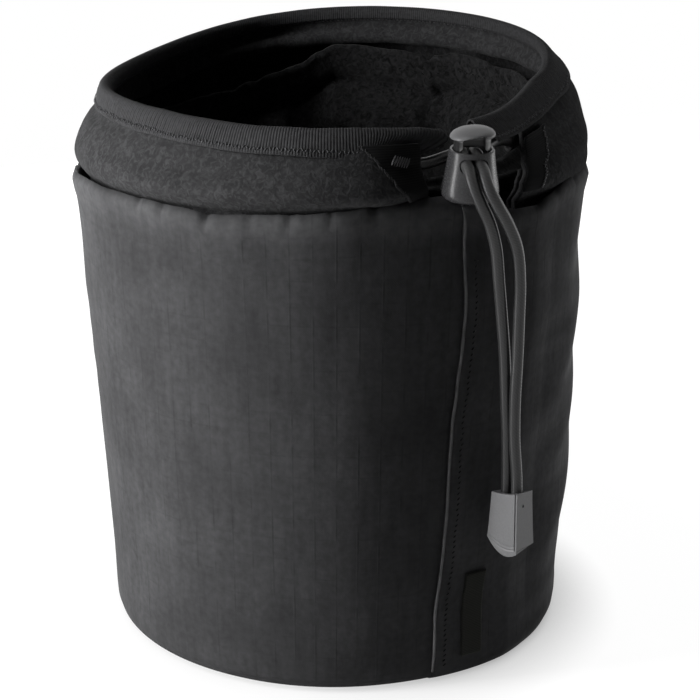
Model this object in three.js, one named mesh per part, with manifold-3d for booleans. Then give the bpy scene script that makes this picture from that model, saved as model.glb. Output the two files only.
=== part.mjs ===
// A drawstring lens pouch: a padded ripstop tub with a soft collar and a tilted mouth, an elastic
// drawcord held by a sprung cord lock, and a clip on the cord's two tails.
// Millimetres, +Z up, the front with its seam and lock towards -Y, the origin under the base.
import * as THREE from 'three';
import { mergeGeometries, mergeVertices } from 'three/addons/utils/BufferGeometryUtils.js';
import Module from 'manifold-3d';

const wasm = await Module();
wasm.setup();
const degrees = THREE.MathUtils.degToRad;

// Tub: the outer wall laps over itself at the front
const bodyHeight = 105;
const bodyTopRadius = 56;
const bodyFootRadius = 52;
const baseRound = 3.5;
const clothThickness = 0.8;
const foamThickness = 4;
const liningThickness = 0.8;
const layerGap = 0.3;
const lapWidth = 12;
const lapBlendWidth = 8;

// Collar and mouth, as they are before the mouth takes its shape
const collarTuck = 5.7;
const collarThickness = 1.2;
const collarSwell = 2.7;
const collarSwellRise = 2.5;
const collarHandle = 6;
const collarHeight = 19.3;
const rimInset = 6.6;
const rimLean = degrees(35);
const rimBandWidth = 5.2;
const facingThickness = 0.8;
const facingHeight = 9;
const liningHemHeight = 7.5;
const liningHemLean = 1.6;

// Rim binding, folded over the top of the collar and of the cord tunnel's flange
const bindingThickness = 0.6;
const bindingOuterLeg = 5.5;
const bindingInnerLeg = 1.8;
const bindingLeftEnd = -2;
const bindingRightEnd = 6.6;
const bindingEarHeight = 2.6;

// Shape of the mouth: its rise and its reach as waves round the bearing, once, twice or more times round,
// each with its cosine and sine, and the height at which the collar has all of it
const mouthRise = [[-5.98, 4.82], [-0.32, -1.19], [-0.26, 0]];
const mouthReach = [[0, 0], [-0.2, -1.79], [1.18, -0.86], [0.94, -0.57]];
const mouthSettleHeight = 11;

// Slit at the front of the collar, and the tapes sewn beside it
const slitFootAbove = 0.3;
const slitLeftTop = -8;
const slitLeftFoot = -6.8;
const slitRightTop = 14.8;
const slitRightFoot = 14.2;
const slitCorner = 2.5;
const tapeThickness = 0.6;
const leftTapeFootWidth = 5.6;
const leftTapeTopWidth = 9.6;
const rightTapeWidth = 6.4;

// Drawcord and the tunnel that it runs in
const cordDiameter = 2.3;
const cordSpacing = 2.6;
const cordSides = 8;
const tunnelWall = 0.85;
const tunnelClearance = 0.4;
const tunnelFlange = 0.6;
const tunnelDrop = 4.6;

// Cord lock, turned a little to one side and leaning outwards
const lockReach = 59;
const lockSide = -0.8;
const lockFootLift = 1.4;
const lockTurn = degrees(-24);
const lockLean = degrees(8);
const lockFootRadius = 5.5;
const lockFootRound = 1.2;
const lockBarrelHeight = 9.8;
const lockTopWall = 0.85;
const lockFloor = 1;
const lockHoleHeight = 7.4;
const lockHoleSideRoom = 0.4;
const plungerTravel = 1.7;
const plungerLeg = 0.8;
const plungerFoot = 1;
const plungerHeadRadius = 4.4;
const plungerHeadRim = 0.9;
const plungerDome = 1.7;
const slideClearance = 0.15;
const eyeSideRoom = 0.2;
const springWire = 0.45;
const springTurns = 3;
const springSides = 5;
const springStepsInTurn = 10;
const springSideRoom = 0.6;

// Cord end: a flaring tray, the lid on its outer side, and the knot that it holds
const endPlace = [10.1, -60.9, 45.2];
const endTurn = degrees(20);
const endHeight = 13;
const endTopWidth = 7.2;
const endFootWidth = 8.6;
const endTopDepth = 4.9;
const endFootDepth = 6.2;
const endCorner = 0.8;
const endWall = 0.9;
const endChin = 1.8;
const endMouthDip = 0.8;
const lidThickness = 0.8;
const knotDrop = 3.9;
const knotLength = 5;
const knotSideRoom = 0.3;
const knotLobes = 3;
const knotWaist = 0.8;

// Side label: a bare ribbon, folded flat and caught beside the lap's topstitch
const labelWidth = 7.2;
const labelHeight = 20;
const labelThickness = 1;
const labelFoot = 5;
const labelFromLapEdge = 3.2;

// Facets of the turned forms, and how far a cutting form reaches past what it cuts
const tubFacets = 48;
const lockFacets = 24;
const roundFacets = 12;
const cutReach = 10;

// Heights and radii that follow from the sizes above

const wallFoot = baseRound + layerGap;
const wallRadius = (z) => bodyFootRadius + ((bodyTopRadius - bodyFootRadius) * z) / bodyHeight;
const foamOuter = (z) => wallRadius(z) - clothThickness - layerGap;
const liningOuter = (z) => foamOuter(z) - foamThickness - layerGap;
const foamBaseFoot = clothThickness + layerGap;
const paddingFoot = foamBaseFoot + foamThickness + layerGap;
const collarFoot = bodyHeight - collarTuck;
const foamTop = collarFoot - layerGap;
const rimTop = bodyHeight + collarHeight;
const rimRadius = bodyTopRadius - rimInset;

// A place on the rim: the distance down from the collar's top edge, and outwards from its outer face
function rimPlace(down, out) {
  const radius = rimRadius + down * Math.sin(rimLean) + out * Math.cos(rimLean);
  const height = rimTop - down * Math.cos(rimLean) + out * Math.sin(rimLean);
  return [radius, height];
}

const flangeOut = -collarThickness - layerGap;
const bindingInside = flangeOut - tunnelFlange - layerGap;
const tunnelBore = cordDiameter / 2 + tunnelClearance;
const tunnelRadius = tunnelBore + tunnelWall;
const tunnelCentre = rimPlace(tunnelDrop, flangeOut - tunnelRadius);

const lockFoot = bodyHeight + lockFootLift;
const eyeWidth = cordSpacing + cordDiameter + 2 * eyeSideRoom;
const eyeFoot = lockHoleHeight - cordDiameter / 2 - layerGap;
const eyeTop = lockHoleHeight + cordDiameter / 2 + layerGap + plungerTravel;
const stemRadius = eyeWidth / 2 + plungerLeg;
const stemFoot = eyeFoot - plungerFoot;
const boreRadius = stemRadius + slideClearance;
const lockTopRadius = boreRadius + lockTopWall;
const headFoot = lockBarrelHeight + plungerTravel + layerGap;

// Closed meshes and solids

function volumeOf(geometry) {
  const places = geometry.getAttribute('position');
  const corners = geometry.index.array;
  const [a, b, c] = [new THREE.Vector3(), new THREE.Vector3(), new THREE.Vector3()];
  let volume = 0;
  for (let i = 0; i < corners.length; i += 3) {
    a.fromBufferAttribute(places, corners[i]);
    b.fromBufferAttribute(places, corners[i + 1]);
    c.fromBufferAttribute(places, corners[i + 2]);
    volume += a.dot(b.cross(c)) / 6;
  }
  return volume;
}

function closed(geometry) {
  geometry.deleteAttribute('normal');
  geometry.deleteAttribute('uv');
  const merged = mergeVertices(geometry, 1e-3);
  const corners = merged.index.array;
  const kept = [];
  for (let i = 0; i < corners.length; i += 3) {
    const [a, b, c] = [corners[i], corners[i + 1], corners[i + 2]];
    if (a !== b && b !== c && c !== a) kept.push(a, b, c);
  }
  merged.setIndex(kept);
  if (volumeOf(merged) < 0) merged.setIndex(kept.reverse());
  return merged;
}

function solid(geometry) {
  return new wasm.Manifold(new wasm.Mesh({
    numProp: 3,
    vertProperties: Float32Array.from(geometry.getAttribute('position').array),
    triVerts: Uint32Array.from(geometry.index.array),
  }));
}

function geometryOf(body) {
  const mesh = body.getMesh();
  const geometry = new THREE.BufferGeometry();
  geometry.setAttribute('position', new THREE.BufferAttribute(mesh.vertProperties, mesh.numProp));
  geometry.setIndex(new THREE.BufferAttribute(mesh.triVerts, 1));
  return geometry;
}

const cut = (form, ...tools) => tools.reduce((body, tool) => body.subtract(solid(tool)), solid(form));

// Sections, as counter-clockwise lists of [radius, height]

// A polyline moved sideways, to its right-hand side where out is positive and the line runs upwards
function beside(line, out) {
  return line.map(([r, z], i) => {
    const [r0, z0] = line[Math.max(i - 1, 0)];
    const [r1, z1] = line[Math.min(i + 1, line.length - 1)];
    const length = Math.hypot(r1 - r0, z1 - z0);
    return [r + (out * (z1 - z0)) / length, z - (out * (r1 - r0)) / length];
  });
}

const layer = (line, near, far) => [...beside(line, near), ...beside(line, far).reverse()];

function roundSection([radius, height], size, sides) {
  return Array.from({ length: sides }, (_, i) => {
    const angle = (2 * Math.PI * i) / sides;
    return [radius + size * Math.cos(angle), height + size * Math.sin(angle)];
  });
}

// Forms turned about the Z axis. Bearings run from the front (-Y) towards +X.

function revolve(section, facets = tubFacets) {
  const corners = section[0][0] === 0 ? section : [...section, section[0]];
  const profile = corners.map(([r, z]) => new THREE.Vector2(r, z));
  return closed(new THREE.LatheGeometry(profile, facets).rotateX(Math.PI / 2));
}

// A section carried along an arc, with its ends closed. Each bearing may stand off outwards.
function revolveArc(section, start, sweep, facets, standOff = () => 0) {
  const loop = [...section, section[0]];
  const wall = new THREE.LatheGeometry(loop.map(([r, z]) => new THREE.Vector2(r, z)), facets, start, sweep);
  const places = wall.getAttribute('position');
  for (let station = 0; station <= facets; station += 1) {
    const bearing = start + (sweep * station) / facets;
    loop.forEach(([r, z], corner) => {
      const reach = r + standOff(bearing);
      const index = station * loop.length + corner;
      places.setXYZ(index, reach * Math.sin(bearing), z, reach * Math.cos(bearing));
    });
  }
  const caps = [start, start + sweep].map((bearing) => {
    const corners = section.map(([r, z]) => new THREE.Vector2(r + standOff(bearing), z));
    return new THREE.ShapeGeometry(new THREE.Shape(corners)).rotateY(bearing - Math.PI / 2);
  });
  caps[1].setIndex([...caps[1].index.array].reverse());
  return closed(mergeGeometries([wall, ...caps]).rotateX(Math.PI / 2));
}

const outline = (corners) => new THREE.Shape(corners.map(([x, y]) => new THREE.Vector2(x, y)));

function rectangle(left, right, foot, top) {
  return outline([[left, foot], [right, foot], [right, top], [left, top]]);
}

// A flat outline in X and Z, carried from the axis out through the front
function frontPrism(shape, reach) {
  const settings = { depth: reach, bevelEnabled: false, curveSegments: 4 };
  return closed(new THREE.ExtrudeGeometry(shape, settings).rotateX(Math.PI / 2));
}

const wave = (terms, bearing) => terms.reduce((sum, [cosine, sine], i) => {
  const angle = (i + 1) * bearing;
  return sum + cosine * Math.cos(angle) + sine * Math.sin(angle);
}, 0);

// Gives everything above the tub the mouth's tilt and its uneven round, a little at a time up to the rim
function mouthPlace(point) {
  const share = THREE.MathUtils.clamp((point.z - bodyHeight) / mouthSettleHeight, 0, 1);
  const bearing = Math.atan2(point.x, -point.y);
  const radius = Math.hypot(point.x, point.y);
  const stretch = 1 + (share * wave(mouthReach, bearing)) / radius;
  return point.set(point.x * stretch, point.y * stretch, point.z + share * wave(mouthRise, bearing));
}

function mouthShaped(geometry) {
  const places = geometry.getAttribute('position');
  const point = new THREE.Vector3();
  for (let i = 0; i < places.count; i += 1) {
    mouthPlace(point.fromBufferAttribute(places, i));
    places.setXYZ(i, point.x, point.y, point.z);
  }
  return geometry;
}

// A round cord along points, 8 sides, with square ends
function cord(points, steps) {
  const section = outline(roundSection([0, 0], cordDiameter / 2, cordSides));
  const path = new THREE.CatmullRomCurve3(points);
  const settings = { steps, bevelEnabled: false, extrudePath: path };
  return closed(new THREE.ExtrudeGeometry(section, settings));
}

// Materials

function finish(color, roughness, metalness = 0) {
  return new THREE.MeshStandardMaterial({ color, roughness, metalness });
}

const ripstop = finish(0x2b2c2f, 0.6);
const foam = finish(0x4a4a4c, 0.95);
const fleece = finish(0x26262a, 0.95);
const feltCloth = finish(0x2e2f31, 0.95);
const grosgrain = finish(0x2a2b2d, 0.75);
const elastic = finish(0x17181a, 0.7);
const lockPlastic = finish(0x26272a, 0.4);
const endPlastic = finish(0x77787a, 0.45);
const springSteel = finish(0xb5b8bc, 0.3, 1);

const pouch = new THREE.Group();

function add(name, geometry, material, carrier = pouch) {
  const mesh = new THREE.Mesh(geometry, material);
  mesh.name = name;
  carrier.add(mesh);
}

// The tub's outer skin: one wrapped panel whose right edge laps over its left, and a dished base

function outerWall() {
  const lapStep = clothThickness + layerGap;
  const lapAngle = lapWidth / bodyTopRadius;
  const blendAngle = lapBlendWidth / bodyTopRadius;
  const sweep = 2 * Math.PI + lapAngle;
  const lapEnd = lapAngle + sweep / tubFacets;
  const standOff = (bearing) => {
    const blended = THREE.MathUtils.smoothstep(bearing, lapEnd, lapEnd + blendAngle);
    return lapStep * (1 - blended);
  };
  const line = [[wallRadius(wallFoot), wallFoot], [wallRadius(bodyHeight), bodyHeight]];
  return revolveArc(layer(line, 0, -clothThickness), 0, sweep, tubFacets, standOff);
}

function basePanel() {
  const flatRadius = wallRadius(0) - baseRound;
  const arc = (size) => [0, 1, 2, 3].map((i) => {
    const angle = (i * Math.PI) / 6;
    return [flatRadius + size * Math.sin(angle), baseRound - size * Math.cos(angle)];
  });
  const inside = arc(baseRound - clothThickness).reverse();
  return revolve([[0, 0], ...arc(baseRound), ...inside, [0, clothThickness]]);
}

const disc = (radius, foot, top) => revolve([[0, foot], [radius, foot], [radius, top], [0, top]]);

function foamWall() {
  const line = [[foamOuter(paddingFoot), paddingFoot], [foamOuter(foamTop), foamTop]];
  return revolve(layer(line, 0, -foamThickness));
}

function liningWall() {
  const hemTop = bodyHeight + liningHemHeight;
  const line = [
    [liningOuter(paddingFoot), paddingFoot],
    [liningOuter(foamTop), foamTop],
    [liningOuter(foamTop), bodyHeight],
    [liningOuter(foamTop) - liningHemLean, hemTop],
  ];
  return mouthShaped(revolve(layer(line, 0, -liningThickness)));
}

add('outer_wall', outerWall(), ripstop);
add('base_panel', basePanel(), ripstop);
add('foam_wall', foamWall(), foam);
add('foam_base', disc(wallRadius(0) - baseRound, foamBaseFoot, foamBaseFoot + foamThickness), foam);
add('lining_wall', liningWall(), fleece);
const liningBaseRadius = liningOuter(paddingFoot) - liningThickness - layerGap;
add('lining_base', disc(liningBaseRadius, paddingFoot, paddingFoot + liningThickness), fleece);

// The collar: tucked inside the wall's top edge, swelling out over it, and leaning in to the rim

const tuckTop = [foamOuter(bodyHeight), bodyHeight + layerGap];
const swellTop = rimPlace(rimBandWidth, 0);
const swellCurve = new THREE.CubicBezierCurve(
  new THREE.Vector2(...tuckTop),
  new THREE.Vector2(bodyTopRadius + collarSwell, bodyHeight + collarSwellRise),
  new THREE.Vector2(...rimPlace(rimBandWidth + collarHandle, 0)),
  new THREE.Vector2(...swellTop),
);
const swellLine = swellCurve.getPoints(6).map(({ x, y }) => [x, y]);
const collarLine = [[foamOuter(collarFoot), collarFoot], ...swellLine, rimPlace(0, 0)];

// The slit, open at the top, with rounded lower corners
function slit(foot) {
  const top = rimTop + cutReach;
  const shape = new THREE.Shape();
  shape.moveTo(slitLeftTop, top);
  shape.lineTo(slitLeftTop, rimTop);
  shape.lineTo(slitLeftFoot, foot + slitCorner);
  shape.quadraticCurveTo(slitLeftFoot, foot, slitLeftFoot + slitCorner, foot);
  shape.lineTo(slitRightFoot - slitCorner, foot);
  shape.quadraticCurveTo(slitRightFoot, foot, slitRightFoot, foot + slitCorner);
  shape.lineTo(slitRightTop, rimTop);
  shape.lineTo(slitRightTop, top);
  return frontPrism(shape, bodyTopRadius + cutReach);
}

const collarSlit = slit(bodyHeight + slitFootAbove);

function collarBand() {
  return mouthShaped(geometryOf(cut(revolve(layer(collarLine, 0, -collarThickness)), collarSlit)));
}

function collarFacing() {
  const line = collarLine.filter(([, z]) => z < bodyHeight + facingHeight);
  const near = -collarThickness - layerGap;
  return mouthShaped(geometryOf(cut(revolve(layer(line, near, near - facingThickness)), collarSlit)));
}

add('collar_band', collarBand(), feltCloth);
add('collar_facing', collarFacing(), feltCloth);

// The cord tunnel: a tube of cloth inside the rim, with a flange up to the binding

function cordTunnel() {
  const tube = revolve(roundSection(tunnelCentre, tunnelRadius, roundFacets));
  const rimLine = [rimPlace(tunnelDrop, 0), rimPlace(0, 0)];
  const flange = revolve(layer(rimLine, flangeOut, flangeOut - tunnelFlange));
  const bore = revolve(roundSection(tunnelCentre, tunnelBore, cordSides));
  const whole = solid(tube).add(solid(flange)).subtract(solid(bore)).subtract(solid(collarSlit));
  return mouthShaped(geometryOf(whole));
}

// The binding's two ends stand over the slit as short ears, higher than the cords that pass below
function rimBinding() {
  const over = -layerGap - bindingThickness;
  const section = [
    rimPlace(bindingOuterLeg, layerGap + bindingThickness),
    rimPlace(over, layerGap + bindingThickness),
    rimPlace(over, bindingInside - bindingThickness),
    rimPlace(bindingInnerLeg, bindingInside - bindingThickness),
    rimPlace(bindingInnerLeg, bindingInside),
    rimPlace(-layerGap, bindingInside),
    rimPlace(-layerGap, layerGap),
    rimPlace(bindingOuterLeg, layerGap),
  ];
  const reach = bodyTopRadius + cutReach;
  const earFoot = rimTop - bindingEarHeight;
  const below = frontPrism(rectangle(slitLeftTop, slitRightTop, bodyHeight, earFoot), reach);
  const ends = rectangle(bindingLeftEnd, bindingRightEnd, bodyHeight, rimTop + cutReach);
  const between = frontPrism(ends, reach);
  return mouthShaped(geometryOf(cut(revolve(section), below, between)));
}

add('cord_tunnel', cordTunnel(), feltCloth);
add('rim_binding', rimBinding(), grosgrain);

// The tapes beside the slit: strips cut from a skin that lies on the collar's swell

function slitTape(corners) {
  const line = [...swellLine.slice(1, -1), rimPlace(bindingOuterLeg + layerGap, 0)];
  const skin = solid(revolve(layer(line, layerGap, layerGap + tapeThickness).reverse()));
  const strip = solid(frontPrism(outline(corners), bodyTopRadius + cutReach));
  return mouthShaped(geometryOf(skin.intersect(strip)));
}

const tapeFoot = bodyHeight + slitFootAbove + slitCorner;
add('slit_tape_left', slitTape([
  [slitLeftFoot - leftTapeFootWidth, tapeFoot],
  [slitLeftFoot, tapeFoot],
  [slitLeftTop, rimTop],
  [slitLeftTop - leftTapeTopWidth, rimTop],
]), grosgrain);
add('slit_tape_right', slitTape([
  [slitRightFoot, tapeFoot],
  [slitRightFoot + rightTapeWidth, tapeFoot],
  [slitRightTop + rightTapeWidth, rimTop],
  [slitRightTop, rimTop],
]), grosgrain);

function sideLabel() {
  const near = 2 * (clothThickness + layerGap) - clothThickness;
  const line = [[wallRadius(wallFoot), wallFoot], [wallRadius(bodyHeight), bodyHeight]];
  const skin = solid(revolve(layer(line, near, near + labelThickness).reverse()));
  const right = labelFromLapEdge + labelWidth;
  const patch = rectangle(labelFromLapEdge, right, labelFoot, labelFoot + labelHeight);
  return geometryOf(skin.intersect(solid(frontPrism(patch, bodyTopRadius + cutReach))));
}

add('side_label', sideLabel(), grosgrain);

// The cord lock, in its own frame: its foot at the origin, the cords passing along Y

const cordLock = new THREE.Group();
cordLock.position.set(lockSide, -lockReach, lockFoot);
cordLock.rotation.set(lockLean, 0, lockTurn, 'ZXY');
cordLock.updateMatrixWorld(true);
pouch.add(cordLock);

// An opening with round ends, through the lock from front to back
function crossHole(width, foot, top) {
  const corner = Math.min(cordDiameter, top - foot) / 2;
  const half = width / 2;
  const shape = new THREE.Shape();
  shape.moveTo(-half, foot + corner);
  shape.absarc(-half + corner, foot + corner, corner, Math.PI, 1.5 * Math.PI);
  shape.absarc(half - corner, foot + corner, corner, 1.5 * Math.PI, 2 * Math.PI);
  shape.absarc(half - corner, top - corner, corner, 0, 0.5 * Math.PI);
  shape.absarc(-half + corner, top - corner, corner, 0.5 * Math.PI, Math.PI);
  const reach = 2 * lockFootRadius + cutReach;
  return frontPrism(shape, reach).translate(0, reach / 2, 0);
}

function lockBarrel() {
  const waist = (lockFootRadius + lockTopRadius) / 2 - plungerLeg / 4;
  const bell = revolve([
    [0, 0],
    [lockFootRadius - lockFootRound, 0],
    [lockFootRadius - lockFootRound / 3, lockFootRound / 3],
    [lockFootRadius, lockFootRound],
    [waist, lockBarrelHeight / 2],
    [lockTopRadius, lockBarrelHeight - layerGap],
    [lockTopRadius - layerGap, lockBarrelHeight],
    [boreRadius, lockBarrelHeight],
    [boreRadius, lockFloor],
    [0, lockFloor],
  ], lockFacets);
  const width = eyeWidth + 2 * lockHoleSideRoom;
  const half = cordDiameter / 2 + layerGap;
  return geometryOf(cut(bell, crossHole(width, lockHoleHeight - half, lockHoleHeight + half)));
}

function lockPlunger() {
  const domeFoot = headFoot + plungerHeadRim;
  const dome = [0.25, 0.5, 0.75].map((share) => {
    const angle = (share * Math.PI) / 2;
    return [plungerHeadRadius * Math.cos(angle), domeFoot + plungerDome * Math.sin(angle)];
  });
  const stem = revolve([
    [0, stemFoot],
    [stemRadius, stemFoot],
    [stemRadius, headFoot],
    [plungerHeadRadius, headFoot],
    [plungerHeadRadius, domeFoot],
    ...dome,
    [0, domeFoot + plungerDome],
  ], lockFacets);
  return geometryOf(cut(stem, crossHole(eyeWidth, eyeFoot, eyeTop)));
}

// The spring's least gap between turns is measured on points along it
function lockSpring() {
  const radius = boreRadius - springSideRoom - springWire / 2;
  const foot = lockFloor + layerGap + springWire / 2;
  const rise = stemFoot - lockFloor - 2 * layerGap - springWire;
  class Helix extends THREE.Curve {
    getPoint(share, target = new THREE.Vector3()) {
      const angle = 2 * Math.PI * springTurns * share;
      return target.set(radius * Math.cos(angle), radius * Math.sin(angle), foot + rise * share);
    }
  }
  const helix = new Helix();
  const steps = springStepsInTurn * springTurns;
  const points = helix.getPoints(steps);
  const halfTurn = springStepsInTurn / 2;
  const apart = points.flatMap((a, i) => points.slice(i + halfTurn).map((b) => a.distanceTo(b)));
  console.log(`least gap in the spring: ${(Math.min(...apart) - springWire).toFixed(2)} mm`);
  const section = outline(roundSection([0, 0], springWire / 2, springSides));
  const settings = { steps, bevelEnabled: false, extrudePath: helix };
  return closed(new THREE.ExtrudeGeometry(section, settings));
}

add('lock_barrel', lockBarrel(), lockPlastic, cordLock);
add('lock_plunger', lockPlunger(), lockPlastic, cordLock);
add('lock_spring', lockSpring(), springSteel, cordLock);

// The drawcord: round the tunnel, across to the lock, through it, and down as two tails

const lockPlace = (x, y, z) => cordLock.localToWorld(new THREE.Vector3(x, y, z));
const throughReach = lockTopRadius + layerGap;
const slitAtTunnel = (foot, top) => {
  const share = (tunnelCentre[1] - bodyHeight) / collarHeight;
  return Math.asin((foot + (top - foot) * share) / tunnelCentre[0]);
};
const leftExit = slitAtTunnel(slitLeftFoot, slitLeftTop);
const rightExit = slitAtTunnel(slitRightFoot, slitRightTop);
const exitGap = layerGap / tunnelCentre[0];

function drawcordLoop() {
  const section = roundSection(tunnelCentre, cordDiameter / 2, cordSides);
  return mouthShaped(revolveArc(section, rightExit, 2 * Math.PI + leftExit - rightExit, tubFacets));
}

function tunnelPlace(bearing) {
  const [radius, height] = tunnelCentre;
  return mouthPlace(new THREE.Vector3(radius * Math.sin(bearing), -radius * Math.cos(bearing), height));
}

add('drawcord_loop', drawcordLoop(), elastic);
[['left', -1, leftExit, -0.5], ['right', 1, rightExit, 0.5]].forEach(([name, side, exit, sway]) => {
  const strand = (side * cordSpacing) / 2;
  const bridge = [
    tunnelPlace(exit - side * exitGap),
    tunnelPlace(exit - side * (exitGap + cordDiameter / tunnelCentre[0])),
    lockPlace(strand + sway, throughReach + 2 * layerGap + cordDiameter, lockHoleHeight),
    lockPlace(strand, throughReach + 2 * layerGap, lockHoleHeight),
  ];
  add(`drawcord_bridge_${name}`, cord(bridge, 10), elastic);
  const through = [-1, 1].map((end) => new THREE.Vector3(strand, -end * throughReach, lockHoleHeight));
  add(`cord_through_${name}`, cord(through, 2), elastic, cordLock);
});

// The tails' middle line, from the front of the lock down to the cord end. The pair turns as it falls,
// from side by side across the lock to one before the other in the cord end.
const tailMiddle = [
  [-3.38, -64.86, 112.97],
  [-3.8, -66.0, 112.6],
  [-4.2, -67.4, 111.5],
  [-4.1, -68.4, 109.7],
  [-3.1, -68.6, 107.0],
  [-1.2, -68.0, 103.2],
  [1.2, -66.9, 98.0],
  [3.8, -65.4, 91.0],
  [6.0, -64.0, 83.5],
  [7.8, -62.9, 75.0],
  [9.0, -62.0, 66.0],
  [9.8, -61.3, 57.0],
  [10.1, -60.9, 49.0],
  [10.1, -60.9, 41.6],
];
const tailTurnEnd = endTurn - Math.PI / 2;

[['left', -1], ['right', 1]].forEach(([name, side]) => {
  const points = tailMiddle.map(([x, y, z], i) => {
    const turn = THREE.MathUtils.lerp(lockTurn, tailTurnEnd, Math.min(1, i / (tailMiddle.length - 3)));
    const out = (side * cordSpacing) / 2;
    return new THREE.Vector3(x + out * Math.cos(turn), y + out * Math.sin(turn), z);
  });
  add(`drawcord_tail_${name}`, cord(points, 36), elastic);
});

// The cord end, in its own frame: its mouth at the top, its lid towards -Y

const cordEnd = new THREE.Group();
cordEnd.position.set(...endPlace);
cordEnd.rotation.z = endTurn;
pouch.add(cordEnd);

// A flaring block with round corners, inset alike on all sides
function flaringBlock(inset, top, foot) {
  const shape = new THREE.Shape();
  const corner = Math.max(endCorner - inset, endCorner / 4);
  const half = 1;
  const [cx, cy] = [(2 * corner) / endTopDepth, (2 * corner) / endTopWidth];
  shape.moveTo(half, -half + cy);
  shape.lineTo(half, half - cy);
  shape.quadraticCurveTo(half, half, half - cx, half);
  shape.lineTo(-half + cx, half);
  shape.quadraticCurveTo(-half, half, -half, half - cy);
  shape.lineTo(-half, -half + cy);
  shape.quadraticCurveTo(-half, -half, -half + cx, -half);
  shape.lineTo(half - cx, -half);
  shape.quadraticCurveTo(half, -half, half, -half + cy);
  const settings = { depth: top - foot, bevelEnabled: false, curveSegments: 3 };
  const block = new THREE.ExtrudeGeometry(shape, settings).translate(0, 0, foot);
  const places = block.getAttribute('position');
  for (let i = 0; i < places.count; i += 1) {
    const share = -places.getZ(i) / endHeight;
    const halfDepth = THREE.MathUtils.lerp(endTopDepth, endFootDepth, share) / 2 - inset;
    const halfWidth = THREE.MathUtils.lerp(endTopWidth, endFootWidth, share) / 2 - inset;
    places.setX(i, places.getX(i) * halfDepth);
    places.setY(i, places.getY(i) * halfWidth);
  }
  return closed(block);
}

// A prism across the cord end, from an outline in Y and Z
function sidePrism(shape) {
  const settings = { depth: 2 * cutReach, bevelEnabled: false, curveSegments: 6 };
  const prism = new THREE.ExtrudeGeometry(shape, settings).translate(0, 0, -cutReach);
  return closed(prism.rotateX(Math.PI / 2).rotateZ(Math.PI / 2));
}

const endOuterSide = (z) => -THREE.MathUtils.lerp(endTopWidth, endFootWidth, -z / endHeight) / 2;
const lidFoot = -endHeight + endChin;

// What lies on the lid's side of its inner face, moved by a gap
function lidSide(gap, foot) {
  const [top, reach] = [cutReach, -endFootWidth - cutReach];
  const inner = (z) => endOuterSide(z) + lidThickness + gap;
  return sidePrism(outline([[reach, foot], [inner(foot), foot], [inner(top), top], [reach, top]]));
}

// The mouth's dip, and the rounded chin below
function endForm() {
  const dip = new THREE.Shape();
  const half = endTopWidth / 2;
  const dipRadius = (half * half + endMouthDip * endMouthDip) / (2 * endMouthDip);
  dip.absarc(0, dipRadius - endMouthDip, dipRadius, 0, 2 * Math.PI);
  const chin = new THREE.Shape();
  const chinRadius = endHeight;
  chin.absarc(0, chinRadius - endHeight, chinRadius, 0, 2 * Math.PI);
  const block = solid(flaringBlock(0, 0, -endHeight));
  return block.subtract(solid(sidePrism(dip))).intersect(solid(sidePrism(chin)));
}

function cordEndBody() {
  const room = solid(flaringBlock(endWall, -endWall - endMouthDip, lidFoot));
  const mouth = new THREE.Shape();
  const [mouthDepth, mouthWidth] = [cordDiameter / 2 + layerGap, (cordSpacing + cordDiameter) / 2 + layerGap];
  mouth.absellipse(0, 0, mouthDepth, mouthWidth, 0, 2 * Math.PI);
  const settings = { depth: cutReach, bevelEnabled: false, curveSegments: 6 };
  const throat = new THREE.ExtrudeGeometry(mouth, settings).translate(0, 0, -knotDrop);
  const outside = endForm().subtract(solid(lidSide(layerGap, lidFoot - layerGap)));
  return geometryOf(outside.subtract(room).subtract(solid(closed(throat))));
}

function cordEndLid() {
  return geometryOf(endForm().intersect(solid(lidSide(0, lidFoot))));
}

// Both tails are tied together in one tight overhand knot, drawn in at its two waists
function cordKnot() {
  const depth = THREE.MathUtils.lerp(endTopDepth, endFootDepth, knotDrop / endHeight);
  const radius = depth / 2 - endWall - knotSideRoom;
  const foot = -knotDrop - knotLength;
  const lobes = Array.from({ length: 2 * knotLobes + 1 }, (_, i) => {
    const swell = i % 2 ? 1 : knotWaist;
    return [radius * swell, foot + (knotLength * (i + 0.5)) / (2 * knotLobes + 2)];
  });
  return revolve([[0, foot], ...lobes, [0, foot + knotLength]], roundFacets);
}

add('cord_end_body', cordEndBody(), endPlastic, cordEnd);
add('cord_end_lid', cordEndLid(), endPlastic, cordEnd);
add('cord_knot', cordKnot(), elastic, cordEnd);

export default pouch;
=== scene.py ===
# A drawstring lens pouch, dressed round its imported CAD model: a padded ripstop tub, a felted collar with
# a ribbed rim, an elastic drawcord, a sprung cord lock and a clip on the cord's tails.
import math

import bmesh
import bpy
from mathutils import Matrix, Vector, noise


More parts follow.
